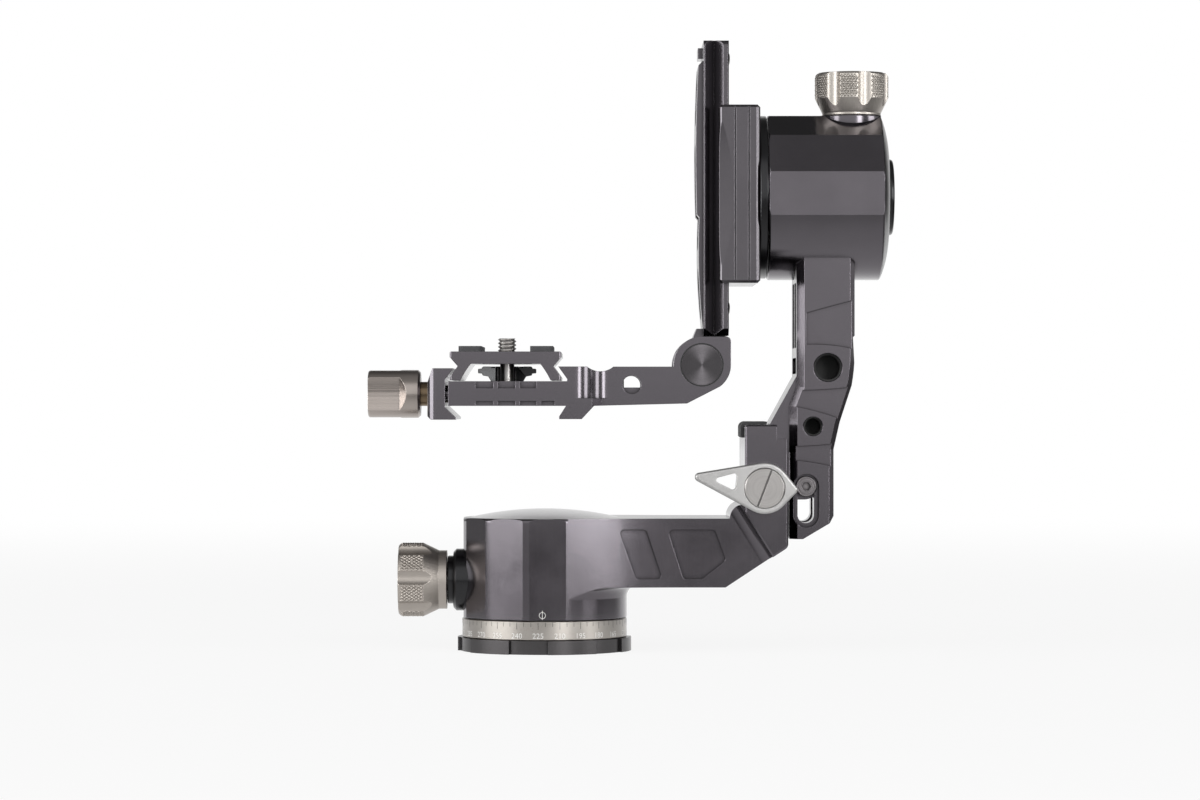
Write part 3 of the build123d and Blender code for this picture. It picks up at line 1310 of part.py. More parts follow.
with BuildPart() as platform_jaw:
    with BuildSketch(Plane.XZ):
        with BuildLine():
            low_throat, high_throat, lip_z = jaw_throat
            Polyline((jaw_hook_x, jaw_top), (jaw_crown_x, jaw_top), (jaw_left, jaw_crown_z),
                     (jaw_left, jaw_heel_z), (jaw_heel_x, jaw_bottom), (jaw_toe_x, jaw_bottom),
                     (jaw_toe_x, jaw_toe_z), (jaw_inner, low_throat), (jaw_inner, high_throat),
                     (jaw_hook_x, lip_z), close=True)
        make_face()
    extrude(amount=platform_half, both=True)
    fillet(platform_jaw.edges().filter_by(Axis.Z).group_by(Axis.X)[0], jaw_corner)
    bar_x(jaw_left, jaw_inner, platform_screw_r + slide_gap, platform_axis_z, mode=Mode.SUBTRACT)
    for pin_y in (-platform_guide_y, platform_guide_y):
        bar_x(jaw_left + jaw_guide_sunk, guide_left, jaw_guide_r, platform_axis_z, pin_y)
save(platform_jaw, "platform_jaw")

platform_knob_seat = Plane(origin=(platform_knob_near, 0, platform_axis_z), x_dir=(0, -1, 0),
                           z_dir=(-1, 0, 0))
with BuildPart() as platform_knob:
    with Locations(platform_knob_seat.location):
        add(slim_knob(platform_knob_r, platform_knob_len, platform_screw_r))
save(platform_knob, "platform_knob")

with BuildPart() as platform_knob_screw:
    bar_x(platform_knob_near - platform_knob_len + knob_end_wall, platform_screw_end, platform_screw_r,
          platform_axis_z)
    bar_x(platform_knob_near, jaw_left - slide_gap, draw_collar_r, platform_axis_z)
save(platform_knob_screw, "platform_knob_screw")

# ================================================================ quick-release plate
leg_half = plate_foot_half - plate_leg
with BuildPart() as quick_release_plate:
    with BuildSketch(Plane.XZ):
        with BuildLine():
            for side in (1, -1):
                Polyline((plate_x, arch_top), (plate_x + side * arch_half, arch_top))
                ThreePointArc((plate_x + side * arch_half, arch_top),
                              (plate_x + side * (arch_half + arch_round[0]), arch_top - arch_round[1]),
                              (plate_x + side * leg_half, plate_floor))
                Polyline((plate_x + side * leg_half, plate_floor),
                         (plate_x + side * plate_foot_half, plate_floor),
                         (plate_x + side * plate_foot_half, plate_floor + plate_foot_h),
                         (plate_x + side * plate_waist_half, plate_waist_z),
                         (plate_x + side * plate_half, plate_rim_z),
                         (plate_x + side * plate_half, plate_top - plate_edge),
                         (plate_x + side * (plate_half - plate_edge), plate_top), (plate_x, plate_top))
        make_face()
    extrude(amount=platform_half, both=True)
    fillet(quick_release_plate.edges().filter_by(Axis.Z), plate_corner)
    bar_z(arch_top, plate_top, thread_1_4_r + camera_screw_gap, plate_x, mode=Mode.SUBTRACT)
save(quick_release_plate, "quick_release_plate")

with BuildPart() as plate_pads:
    for low, high in pad_x:
        block_between((low, -platform_half + pad_inset, plate_top),
                      (high, platform_half - pad_inset, plate_top + pad_proud))
    fillet(plate_pads.edges().filter_by(Axis.Z), pad_round)
save(plate_pads, "plate_pads")

with BuildPart() as camera_screw:
    bar_z(camera_shank_end, plate_top, camera_shank_r, plate_x)
    bar_z(plate_top, camera_screw_top, thread_1_4_r, plate_x)
    chamfer(camera_screw.edges().filter_by(GeomType.CIRCLE).sort_by(Axis.Z)[-1], camera_screw_bevel)
save(camera_screw, "camera_screw")

with BuildPart() as camera_screw_ring:
    bar_z(ring_low, ring_high, ring_r, plate_x)
    with Locations((plate_x, 0, (ring_nose_z + ring_low) / 2)):
        Cone(ring_nose_r, ring_root_r, ring_low - ring_nose_z)
    bar_z(ring_nose_z, ring_high, camera_shank_r, plate_x, mode=Mode.SUBTRACT)
save(camera_screw_ring, "camera_screw_ring")
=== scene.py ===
"""Finishes, fine details and studio for a folding gimbal tripod head.

Metres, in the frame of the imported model: X runs from the camera platform to the upright arm,
Y runs from the front to the back and Z is up along the pan axis.
"""
from __future__ import annotations

import json
import logging
import math
from dataclasses import dataclass
from enum import Enum
from typing import Any, Callable, Sequence

import bmesh
import bpy
from mathutils import Matrix, Vector

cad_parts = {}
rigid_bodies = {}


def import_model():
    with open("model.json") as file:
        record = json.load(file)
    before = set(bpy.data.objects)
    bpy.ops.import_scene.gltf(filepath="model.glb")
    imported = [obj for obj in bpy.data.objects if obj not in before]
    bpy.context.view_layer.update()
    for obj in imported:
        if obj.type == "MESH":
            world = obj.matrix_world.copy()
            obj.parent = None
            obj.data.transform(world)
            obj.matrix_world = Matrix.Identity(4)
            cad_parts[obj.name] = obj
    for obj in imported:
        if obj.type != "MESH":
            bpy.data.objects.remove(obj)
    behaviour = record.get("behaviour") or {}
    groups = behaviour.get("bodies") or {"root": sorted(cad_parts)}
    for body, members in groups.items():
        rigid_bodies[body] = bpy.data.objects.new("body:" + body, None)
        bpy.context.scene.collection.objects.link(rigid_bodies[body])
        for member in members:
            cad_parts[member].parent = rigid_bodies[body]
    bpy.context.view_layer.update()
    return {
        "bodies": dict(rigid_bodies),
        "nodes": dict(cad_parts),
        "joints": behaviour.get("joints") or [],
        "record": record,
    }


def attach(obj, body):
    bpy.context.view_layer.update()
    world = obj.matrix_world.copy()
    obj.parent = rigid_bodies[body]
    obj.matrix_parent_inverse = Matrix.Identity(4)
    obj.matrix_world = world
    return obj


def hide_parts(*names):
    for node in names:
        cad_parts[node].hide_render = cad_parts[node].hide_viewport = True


log = logging.getLogger("gimbal_head")
MM = 0.001
TURN = 2 * math.pi
Colour = tuple[float, float, float]
Spot = tuple[float, float, float]
Span = tuple[float, float]
Finish = bpy.types.Material
Piece = bpy.types.Object
Socket = bpy.types.NodeSocket
Radius = Callable[[float], float]
WHITE: Colour = (1.0, 1.0, 1.0)


class Direction(Enum):
    """Directions that a cutter line or an axis can take."""

    X = (1.0, 0.0, 0.0)
    Y = (0.0, 1.0, 0.0)
    Z = (0.0, 0.0, 1.0)


def tone(red: int, green: int, blue: int) -> Colour:
    """Turn display values from 0 to 255 into a linear colour.

    Args:
        red: Red display value.
        green: Green display value.
        blue: Blue display value.

    Returns:
        The linear colour.
    """
    def linear(value: int) -> float:
        share = value / 255.0
        return share / 12.92 if share <= 0.04045 else ((share + 0.055) / 1.055) ** 2.4

    return linear(red), linear(green), linear(blue)


def mm(*values: float) -> Vector:
    """Point given in millimetres, in metres."""
    return Vector(value * MM for value in values)


# ---------------------------------------------------------------- node boards
def arithmetic(operation: str, swapped: bool = False) -> Callable[..., "Value"]:
    """Make a method that adds one Math node.

    Args:
        operation: Operation of the node.
        swapped: Whether the other number comes first.

    Returns:
        The method.
    """
    def method(self: "Value", other: Any = None) -> "Value":
        """Work out the operation in the node tree."""
        numbers = [self] if other is None else [other, self] if swapped else [self, other]
        node = self.board.node("ShaderNodeMath", {"operation": operation}, dict(enumerate(numbers)))
        return self.board.number(node)

    return method


class Value:
    """A number in a node tree that takes part in Python arithmetic."""

    __add__ = __radd__ = arithmetic("ADD")
    __sub__, __rsub__ = arithmetic("SUBTRACT"), arithmetic("SUBTRACT", swapped=True)
    __mul__ = __rmul__ = arithmetic("MULTIPLY")
    __truediv__, __rtruediv__ = arithmetic("DIVIDE"), arithmetic("DIVIDE", swapped=True)
    __mod__ = arithmetic("MODULO")
    __pow__ = arithmetic("POWER")
    floor = arithmetic("FLOOR")
    sine = arithmetic("SINE")
    cosine = arithmetic("COSINE")
    at_least = arithmetic("MAXIMUM")
    at_most = arithmetic("MINIMUM")

    def __init__(self, board: "Board", socket: Socket) -> None:
        """Wrap one output socket.

        Args:
            board: Board that the socket belongs to.
            socket: Output socket that carries a number.
        """
        self.board = board
        self.socket = socket

    def held(self) -> "Value":
        """The value kept between nought and one."""
        return self.at_least(0.0).at_most(1.0)

    def eased(self, low: float, high: float) -> "Value":
        """Soft step from nought at one value to one at another."""
        return self.board.number(self.board.node(
            "ShaderNodeMapRange", {"interpolation_type": "SMOOTHSTEP"},
            {"Value": self, "From Min": low, "From Max": high}))


class Board:
    """Node tree that nodes are laid out on."""

    def __init__(self, tree: bpy.types.NodeTree) -> None:
        """Clear a tree for new nodes.

        Args:
            tree: Tree of a material, a world or a geometry recipe.
        """
        self.tree = tree
        self.tree.nodes.clear()

    def node(self, kind: str, settings: dict[str, Any] | None = None,
             inputs: dict[Any, Any] | None = None) -> bpy.types.Node:
        """Add a node, set it up and feed its sockets.

        Args:
            kind: Type of the node.
            settings: Properties of the node.
            inputs: Values, sockets or nodes by socket name or index; of a node, its first output.

        Returns:
            The new node.
        """
        node = self.tree.nodes.new(kind)
        for key, setting in (settings or {}).items():
            setattr(node, key, setting)
        for key, value in (inputs or {}).items():
            socket = node.inputs[key]
            source = value.socket if isinstance(value, Value) else value
            if isinstance(source, bpy.types.Node):
                source = source.outputs[0]
            if isinstance(source, Socket):
                self.tree.links.new(source, socket)
            elif socket.type == "RGBA" and len(source) == 3:
                socket.default_value = (*source, 1.0)
            else:
                socket.default_value = source
        return node

    def number(self, node: bpy.types.Node, output: Any = 0) -> Value:
        """Wrap a node's output as a number."""
        return Value(self, node.outputs[output])

    def vector(self, operation: str, first: Any, second: Any = None) -> bpy.types.Node:
        """Add a Vector Math node."""
        inputs = {0: first} if second is None else {0: first, 1: second}
        return self.node("ShaderNodeVectorMath", {"operation": operation}, inputs)

    def parts(self, vector: Socket) -> list[Value]:
        """X, Y and Z of a vector."""
        split = self.node("ShaderNodeSeparateXYZ", None, {0: vector})
        return [self.number(split, axis) for axis in range(3)]

    def rays(self, *kinds: str) -> Value:
        """One for rays of the named kinds, else nought."""
        path = self.node("ShaderNodeLightPath")
        total = self.number(path, f"Is {kinds[0]} Ray")
        for kind in kinds[1:]:
            total = total + self.number(path, f"Is {kind} Ray")
        return total.held()


class Sheet(Board):
    """Node sheet of one material."""

    def __init__(self, name: str) -> None:
        """Start an empty sheet.

        Args:
            name: Name of the material.
        """
        self.material = bpy.data.materials.new(name)
        self.material.use_nodes = True
        super().__init__(self.material.node_tree)

    def place(self) -> Socket:
        """Object coordinates in metres."""
        return self.node("ShaderNodeTexCoord").outputs["Object"]

    def stretched(self, scale: Sequence[float], centre: Sequence[float] = (0.0, 0.0, 0.0)
                  ) -> Socket:
        """Object coordinates moved to a centre and scaled along each axis."""
        moved = self.vector("SUBTRACT", self.place(), tuple(centre))
        return self.vector("MULTIPLY", moved, tuple(scale)).outputs[0]

    def speckle(self, vector: Socket, scale: float, detail: float = 2.0) -> Value:
        """Soft random pattern from nought to one."""
        return self.number(self.node("ShaderNodeTexNoise", None, {
            "Vector": vector, "Scale": scale, "Detail": detail, "Roughness": 0.55}))

    def rings(self, radius: Value, pitch: float, detail: float) -> Value:
        """Soft random pattern from nought to one that changes with a radius."""
        return self.number(self.node("ShaderNodeTexNoise", {"noise_dimensions": "1D"}, {
            "W": radius, "Scale": 1.0 / pitch, "Detail": detail}))

    def blend(self, share: Any, first: Any, second: Any) -> Socket:
        """Mix two colours by a share."""
        mix = self.node("ShaderNodeMix", {"data_type": "RGBA"}, {0: share, 6: first, 7: second})
        return mix.outputs[2]

    def edge(self, radius: float) -> tuple[Socket, Value]:
        """Broken edge of a machined part.

        Args:
            radius: Radius of the broken edge in metres.

        Returns:
            The softened normal, and how near an edge is, from nought to one.
        """
        soft = self.node("ShaderNodeBevel", {"samples": 6}, {"Radius": radius})
        true = self.node("ShaderNodeNewGeometry")
        same = self.vector("DOT_PRODUCT", soft.outputs[0], true.outputs["Normal"])
        return soft.outputs[0], ((1.0 - self.number(same, "Value")) * 6.0).held()

    def hollow(self, reach: float) -> Value:
        """Painted shade: how deep a spot lies in a corner or groove of its own part, from nought to
        one.
        """
        shade = self.node("ShaderNodeAmbientOcclusion", {"samples": 6, "only_local": True},
                          {"Distance": reach})
        return 1.0 - self.number(shade, "AO")

    def skin(self, colour: Colour, shade: Value, wear: Value, wear_and_highlight_gain: float, corner: Value,
             shaded_share: float) -> Socket:
        """Colour of a metal skin with real wear and a painted highlight at its edges, and painted
        shade in its corners.

        Args:
            colour: Colour of the metal.
            shade: How light each spot is, about one.
            wear: How much each spot shows real edge wear and a painted edge highlight.
            wear_and_highlight_gain: How much lighter the rubbed and highlit metal is painted.
            corner: How deep each spot lies, which sets the painted shade.
            shaded_share: Share of the colour that is left where shade is painted in.

        Returns:
            The colour socket.
        """
        tinted = self.node("ShaderNodeVectorMath", {"operation": "SCALE"},
                           {0: colour, "Scale": shade})
        # Real wear and a painted highlight lighten the edges; painted shade fills corners and
        # grooves.
        wear_and_highlight_colour = tuple(min(1.0, part * wear_and_highlight_gain + 0.02) for part in colour)
        with_wear_and_highlight = self.blend(wear, tinted, wear_and_highlight_colour)
        return self.blend(corner.held(), with_wear_and_highlight, tuple(part * shaded_share for part in colour))

    def finish(self, colour: Any, roughness: Any, relief: tuple[Any, ...] = (),
               **constants: Any) -> Finish:
        """End the sheet in one Principled shader.

        Args:
            colour: Base colour or socket.
            roughness: Roughness or socket.
            relief: Strength, depth in metres, height and normal of a bump.
            constants: Other sockets of the shader, with spaces written as underscores.

        Returns:
            The finished material.
        """
        inputs = {"Base Color": colour, "Roughness": roughness}
        if relief:
            bump = self.node("ShaderNodeBump", None,
                             dict(zip(("Strength", "Distance", "Height", "Normal"), relief)))
            inputs["Normal"] = bump
        inputs.update({key.replace("_", " "): value for key, value in constants.items()})
        shader = self.node("ShaderNodeBsdfPrincipled", None, inputs)
        self.node("ShaderNodeOutputMaterial", None, {"Surface": shader})
        return self.material


# ---------------------------------------------------------------- finishes
@dataclass(frozen=True)
class Anodised:
    """Bead-blasted aluminium with a coloured anodised skin."""

    name: str
    colour: Colour
    roughness: float = 0.4
    grain: float = 0.2
    cutter: Direction | None = None
    cutter_strength: float = 0.12
    edge_radius: float = 0.3
    edge_gain: float = 0.35
    film: float = 0.4
    film_roughness: float = 0.14
    crevice: float = 1.1
    blast_scale: float = 5200.0
    cloud_scale: float = 70.0
    cutter_scale: float = 3400.0
    cutter_along: float = 40.0

    def make(self) -> Finish:
        """Build the material.

        Returns:
            The finished material.
        """
        sheet = Sheet(self.name)
        soft, near = sheet.edge(self.edge_radius * MM)
        place = sheet.place()
        blast = sheet.speckle(place, self.blast_scale)
        cloud = sheet.speckle(place, self.cloud_scale, 3.0)
        shade = (cloud - 0.5) * 0.24 + (blast - 0.5) * 0.3 + 1.0
        # Painted shade in corners and grooves; edges get real wear and a painted highlight.
        corner = sheet.hollow(1.6 * MM) * self.crevice + sheet.hollow(0.4 * MM)
        colour = sheet.skin(self.colour, shade, near * self.edge_gain, 1.9, corner, 0.12)
        rough = (cloud - 0.5) * 0.12 + (blast - 0.5) * 0.16 + self.roughness
        height = blast
        if self.cutter is not None:
            fall = self.cutter_scale - self.cutter_along
            scale = [self.cutter_scale - fall * part for part in self.cutter.value]
            lines = sheet.speckle(sheet.stretched(scale), 1.0, 1.0)
            height = blast + lines * self.cutter_strength / self.grain
            rough = rough + (lines - 0.5) * 0.06
        return sheet.finish(colour, rough, (self.grain, 0.05 * MM, height, soft), Metallic=1.0,
                            Coat_Weight=self.film, Coat_Roughness=self.film_roughness)


@dataclass(frozen=True)
class Spun:
    """Metal turned on a lathe, with fine rings about its axis."""

    name: str
    colour: Colour
    centre: Spot
    axis: Direction
    roughness: float = 0.3
    rings: float = 0.5
    pitch: float = 0.12
    groove: float = 0.06
    edge_radius: float = 0.2
    film: float = 0.4
    film_roughness: float = 0.08
    sheen: float = 0.0

    def make(self) -> Finish:
        """Build the material.

        Returns:
            The finished material.
        """
        sheet = Sheet(self.name)
        soft, near = sheet.edge(self.edge_radius * MM)
        across = [1.0 - part for part in self.axis.value]
        flat = sheet.stretched(across, mm(*self.centre))
        out = sheet.number(sheet.vector("LENGTH", flat), "Value")
        groove = sheet.rings(out, self.pitch * MM, 3.0)
        wide = sheet.rings(out, self.pitch * MM / 0.14, 1.0)
        cloud = sheet.speckle(sheet.place(), 90.0)
        shade = (groove - 0.5) * 0.5 + (wide - 0.5) * 0.3 + (cloud - 0.5) * 0.15 + 1.0
        # Painted highlight: spots above and below the axis are painted lighter, a wedge like the
        # one a lathe-turned face catches.
        if self.sheen:
            high = sheet.parts(flat)[2] / out
            shade = shade * ((high * high) ** 3.0 * self.sheen + 1.0 - self.sheen * 0.25)
        # Painted shade in grooves; edges get real wear and a painted highlight.
        colour = sheet.skin(self.colour, shade, near * 0.5, 1.6, sheet.hollow(1.0 * MM) * 1.4, 0.08)
        return sheet.finish(colour, (groove - 0.5) * 0.25 + self.roughness,
                            (self.rings, self.groove * MM, groove, soft), Metallic=1.0,
                            Coat_Weight=self.film, Coat_Roughness=self.film_roughness)


@dataclass(frozen=True)
class Rubber:
    """Matt moulded rubber with a fine skin."""

    name: str
    colour: Colour = (0.03, 0.03, 0.031)
    roughness: float = 0.62

    def make(self) -> Finish:
        """Build the material.

        Returns:
            The finished material.
        """
        sheet = Sheet(self.name)
        soft, near = sheet.edge(0.35 * MM)
        place = sheet.place()
        moulded = sheet.speckle(place, 2600.0, 3.0)
        dust = sheet.speckle(place, 260.0, 4.0)
        # Dust speckle is real; the paler rim along edges is a painted highlight.
        pale = tuple(part * 2.2 + 0.01 for part in self.colour)
        colour = sheet.blend(((dust - 0.45) * 1.6).held() * 0.35 + near * 0.3, self.colour, pale)
        return sheet.finish(colour, (moulded - 0.5) * 0.2 + self.roughness,
                            (0.35, 0.08 * MM, moulded, soft), Metallic=0.0)


@dataclass(frozen=True)
class Ink:
    """Filled engraving of a scale or an index mark, also used as plain painted shade in gaps and
    holes.
    """

    name: str
    colour: Colour

    def make(self) -> Finish:
        """Build the material.

        Returns:
            The finished material.
        """
        sheet = Sheet(self.name)
        wear = sheet.speckle(sheet.place(), 3000.0)
        dim = tuple(part * 0.7 for part in self.colour)
        colour = sheet.blend(((wear - 0.45) * 2.0).held(), self.colour, dim)
        return sheet.finish(colour, (wear - 0.5) * 0.2 + 0.55)


class Workshop:
    """All finishes of the head, made once."""

    def __init__(self) -> None:
        """Make the finishes that several parts share."""
        skin = tone(99, 95, 100)
        self.gunmetal_cut = Anodised("gunmetal_turned", skin, 0.17, grain=0.07,
                                     cutter=Direction.Z, cutter_strength=0.02,
                                     edge_gain=0.1).make()
        self.gunmetal_side = Anodised("gunmetal_milled", skin, 0.17, grain=0.07,
                                      cutter=Direction.X, cutter_strength=0.02).make()
        self.gunmetal_rail = Anodised("gunmetal_rail", tone(90, 87, 91), 0.2, grain=0.08,
                                      cutter=Direction.Z, cutter_strength=0.03).make()
        self.black = Anodised("black_anodised", tone(42, 42, 44), 0.3, film=0.5).make()
        self.graphite = Anodised("graphite_anodised", tone(72, 70, 71), 0.34).make()
        # The light champagne is the same finish painted lighter for the tilt knob: painted light.
        self.champagne, self.champagne_light = (
            Anodised(name, colour, 0.42, grain=0.12, edge_radius=0.25, film=0.04,
                     crevice=0.8).make()
            for name, colour in (("champagne_anodised", tone(178, 171, 164)),
                                 ("champagne_light", tone(194, 188, 181))))
        self.silver = Anodised("silver_anodised", tone(186, 185, 184), 0.42, grain=0.3,
                               edge_radius=0.35, edge_gain=0.2).make()
        self.dial = Anodised("dial_anodised", tone(168, 163, 157), 0.32,
                             cutter=Direction.Z, edge_gain=0.2).make()
        self.steel = Anodised("stainless_steel", tone(186, 184, 182), 0.22, grain=0.1,
                              edge_radius=0.12, edge_gain=0.2, film=0.0).make()
        # A lighter copy of the steel finish: painted light for the camera screw.
        self.bright_steel = Anodised("steel_painted_lighter", tone(222, 219, 216), 0.36, grain=0.1,
                                     edge_radius=0.12, edge_gain=0.2, film=0.0,
                                     crevice=0.9).make()
        self.brass, self.bronze = (
            Anodised(name, colour, roughness, grain=0.15, film=0.0).make()
            for name, colour, roughness in (("turned_brass", tone(120, 104, 84), 0.3),
                                            ("bearing_bronze", tone(172, 138, 92), 0.34)))
        self.rubber = Rubber("moulded_rubber").make()
        self.pad_rubber = Rubber("pad_rubber", tone(66, 66, 68), 0.7).make()
        # Near-black ink used as painted shade round the hinge caps and inside threaded holes.
        self.gap = Ink("painted_gap_shade", (0.008, 0.008, 0.008)).make()
        self.ink_dark = Ink("scale_ink", (0.05, 0.05, 0.05)).make()
        self.ink_pale = Ink("index_paint", tone(226, 225, 222)).make()


# ---------------------------------------------------------------- geometry recipes
class Recipe(Board):
    """A Geometry Nodes tree with named sizes that is baked into one plain mesh."""

    def __init__(self, name: str) -> None:
        """Start a tree.

        Args:
            name: Name of the piece that the tree makes.
        """
        super().__init__(bpy.data.node_groups.new(name, "GeometryNodeTree"))
        self.name = name
        self.tree.interface.new_socket("Geometry", in_out="OUTPUT",
                                       socket_type="NodeSocketGeometry")
        self.entry = self.tree.nodes.new("NodeGroupInput")
        self.values: dict[str, Any] = {}

    def size(self, label: str, value: float | int) -> Value:
        """Add a named size to the tree.

        Args:
            label: Name of the size.
            value: Its value; whole numbers make a whole-number input.

        Returns:
            The size, for use in the tree.
        """
        kind = "NodeSocketInt" if isinstance(value, int) else "NodeSocketFloat"
        made = self.tree.interface.new_socket(label, in_out="INPUT", socket_type=kind)
        self.values[made.identifier] = value
        return Value(self, self.entry.outputs[label])

    def index(self) -> Value:
        """Number of each point, from nought."""
        return self.number(self.node("GeometryNodeInputIndex"))

    def point(self, x: Any = 0.0, y: Any = 0.0, z: Any = 0.0) -> Socket:
        """Join three numbers to a vector."""
        return self.node("ShaderNodeCombineXYZ", None, {0: x, 1: y, 2: z}).outputs[0]

    def bake(self, geometry: bpy.types.Node, material: Finish,
             place: Matrix) -> Piece:
        """End the tree, evaluate it and keep the result as a plain mesh.

        Args:
            geometry: Node whose geometry is kept.
            material: Finish of the piece.
            place: Where the piece goes in the frame.

        Returns:
            The finished object, at the origin with its place in its mesh.
        """
        real = self.node("GeometryNodeRealizeInstances", None, {0: geometry})
        painted = self.node("GeometryNodeSetMaterial", None,
                            {"Geometry": real, "Material": material})
        leave = self.tree.nodes.new("NodeGroupOutput")
        self.tree.links.new(painted.outputs[0], leave.inputs[0])
        carrier = bpy.data.objects.new(self.name, bpy.data.meshes.new(self.name))
        bpy.context.scene.collection.objects.link(carrier)
        modifier = carrier.modifiers.new("recipe", "NODES")
        modifier.node_group = self.tree
        for identifier, value in self.values.items():
            modifier[identifier] = value
        mesh = evaluated(carrier)
        carrier.modifiers.clear()
        carrier.data = mesh
        mesh.name = self.name
        mesh.transform(place)
        if not mesh.materials:
            mesh.materials.append(material)
        return carrier


def evaluated(carrier: Piece) -> bpy.types.Mesh:
    """Plain mesh of an object with its modifiers or its text shapes worked out."""
    graph = bpy.context.evaluated_depsgraph_get()
    return bpy.data.meshes.new_from_object(carrier.evaluated_get(graph), depsgraph=graph)


# ---------------------------------------------------------------- pieces
@dataclass
class Assembly:
    """A group of parts that are dressed and detailed together."""

    frame: dict[str, Any]
    shop: Workshop

    def dress(self, material: Finish, *names: str) -> None:
        """Give carried-over nodes their finish.

        Args:
            material: The finish.
            names: Names of the nodes.
        """
        for name in names:
            node = self.frame["nodes"][name]
            if not node.material_slots:
                node.data.materials.append(material)
            for place in node.material_slots:
                place.material = material
            log.info("dressed %s in %s", name, material.name)

    def fit(self, piece: Piece, body: str, slot: str, *stands_for: str) -> None:
        """Put a finished piece on its body.

        Args:
            piece: The piece, already in place.
            body: Body that it moves with.
            slot: Material slot of the record; not used.
            stands_for: Nodes that it replaces.
        """
        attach(piece, body)
        if stands_for:
            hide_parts(*stands_for)
        log.info("made %s on %s", piece.name, body)

    def build(self) -> None:
        """Dress and detail the group."""
        raise NotImplementedError


@dataclass(frozen=True)
class Knurl:
    """Diamond knurling on the lands of a lobed knob."""

    name: str
    foot: float
    knob_radius: float = 12.5
    lands: int = 7
    rows: int = 9
    columns: int = 5
    cone: float = 5.0
    margin: float = 0.75
    sunk: float = 0.03
    row_pitch: float = 0.82
    column_pitch: float = 1.18
    height: float = 0.32

    def make(self, place: Matrix, turn: float, material: Finish) -> Piece:
        """Cut the knurl.

        Args:
            place: Place of the knob's foot, with Z along its axis.
            turn: Turn of the first land in degrees.
            material: Finish of the knurl.

        Returns:
            All diamonds as one mesh.
        """
        recipe = Recipe(self.name)
        size = recipe.size
        lands, rows = size("lands", self.lands), size("rows", self.rows)
        columns = size("columns", self.columns)
        radius = size("radius", (self.knob_radius - self.sunk) * MM)
        row_pitch = size("row pitch", self.row_pitch * MM)
        column_turn = size("column turn", self.column_pitch / self.knob_radius)
        low = size("low row", (self.foot + self.cone + self.margin) * MM)
        diamond = size("diamond", self.row_pitch * MM)
        proud = size("height", self.height * MM)
        on_land = rows * columns
        cloud = recipe.node("GeometryNodePoints", None, {"Count": lands * on_land})
        index = recipe.index()
        land = (index / on_land).floor()
        spot = index % on_land
        row = (spot / columns).floor()
        across = spot % columns + (row % 2.0) * 0.5 - (columns - 0.5) * 0.5
        angle = across * column_turn + land * (TURN / self.lands)
        around = recipe.point(angle.cosine() * radius, angle.sine() * radius,
                              low + row * row_pitch)
        spread = recipe.node("GeometryNodeSetPosition", None,
                             {"Geometry": cloud, "Position": around})
        point = recipe.node("GeometryNodeMeshCone", None,
                            {"Vertices": 4, "Radius Top": 0.0, "Radius Bottom": diamond,
                             "Depth": proud})
        slim = 0.5 * self.column_pitch / self.row_pitch
        knurl = recipe.node("GeometryNodeInstanceOnPoints", None,
                            {"Points": spread, "Instance": point,
                             "Rotation": recipe.point(0.0, math.pi / 2, angle),
                             "Scale": recipe.point(1.0, slim, 1.0)})
        return recipe.bake(knurl, material,
                           place @ Matrix.Rotation(math.radians(turn), 4, "Z"))


@dataclass(frozen=True)
class Turned:
    """Closed turned body about Z, whose section may change round the axis."""

    name: str
    steps: int = 48

    def make(self, rings: Sequence[tuple[Radius, float]],
             material: Finish, place: Matrix, closed: bool = False) -> Piece:
        """Skin a body over rings of radii.

        Args:
            rings: For each ring, its radius as a function of the angle, and its height.
            material: Finish of the body.
            place: Where the body's origin goes.
            closed: Whether the last ring joins the first, as in a tube.

        Returns:
            The body.
        """
        points: list[Vector] = []
        for radius, height in rings:
            for step in range(self.steps):
                angle = TURN * step / self.steps
                out = radius(angle)
                points.append(place @ mm(out * math.cos(angle), out * math.sin(angle), height))
        faces = quads(len(rings), self.steps, closed, True)
        if not closed:
            last = (len(rings) - 1) * self.steps
            faces += [tuple(range(self.steps)), tuple(range(last, last + self.steps))]
        return solid_piece(self.name, points, faces, material)


def quads(rows: int, columns: int, rows_close: bool, columns_close: bool) -> list[tuple[int, ...]]:
    """Faces between rows of corners.

    Args:
        rows: Number of rows.
        columns: Corners in each row.
        rows_close: Whether the last row joins the first.
        columns_close: Whether the last corner of a row joins its first.

    Returns:
        Corners of each face.
    """
    faces: list[tuple[int, ...]] = []
    for low in range(rows if rows_close else rows - 1):
        high = (low + 1) % rows
        for step in range(columns if columns_close else columns - 1):
            after = (step + 1) % columns
            faces.append((low * columns + step, low * columns + after,
                          high * columns + after, high * columns + step))
    return faces


def solid_piece(name: str, points: Sequence[Vector], faces: Sequence[Sequence[int]],
                material: Finish, solid: bool = True) -> Piece:
    """Make a mesh at the origin, with its place in its corners.

    Args:
        name: Name of the piece.
        points: Corners in metres.
        faces: Corners of each face.
        material: Finish of the piece.
        solid: Whether it is closed, so that its faces are turned outwards.

    Returns:
        The piece.
    """
    mesh = bpy.data.meshes.new(name)
    mesh.from_pydata(points, [], faces)
    if solid:
        sheet = bmesh.new()
        sheet.from_mesh(mesh)
        bmesh.ops.recalc_face_normals(sheet, faces=sheet.faces)
        sheet.to_mesh(mesh)
        sheet.free()
    mesh.materials.append(material)
    piece = bpy.data.objects.new(name, mesh)
    bpy.context.scene.collection.objects.link(piece)
    return piece


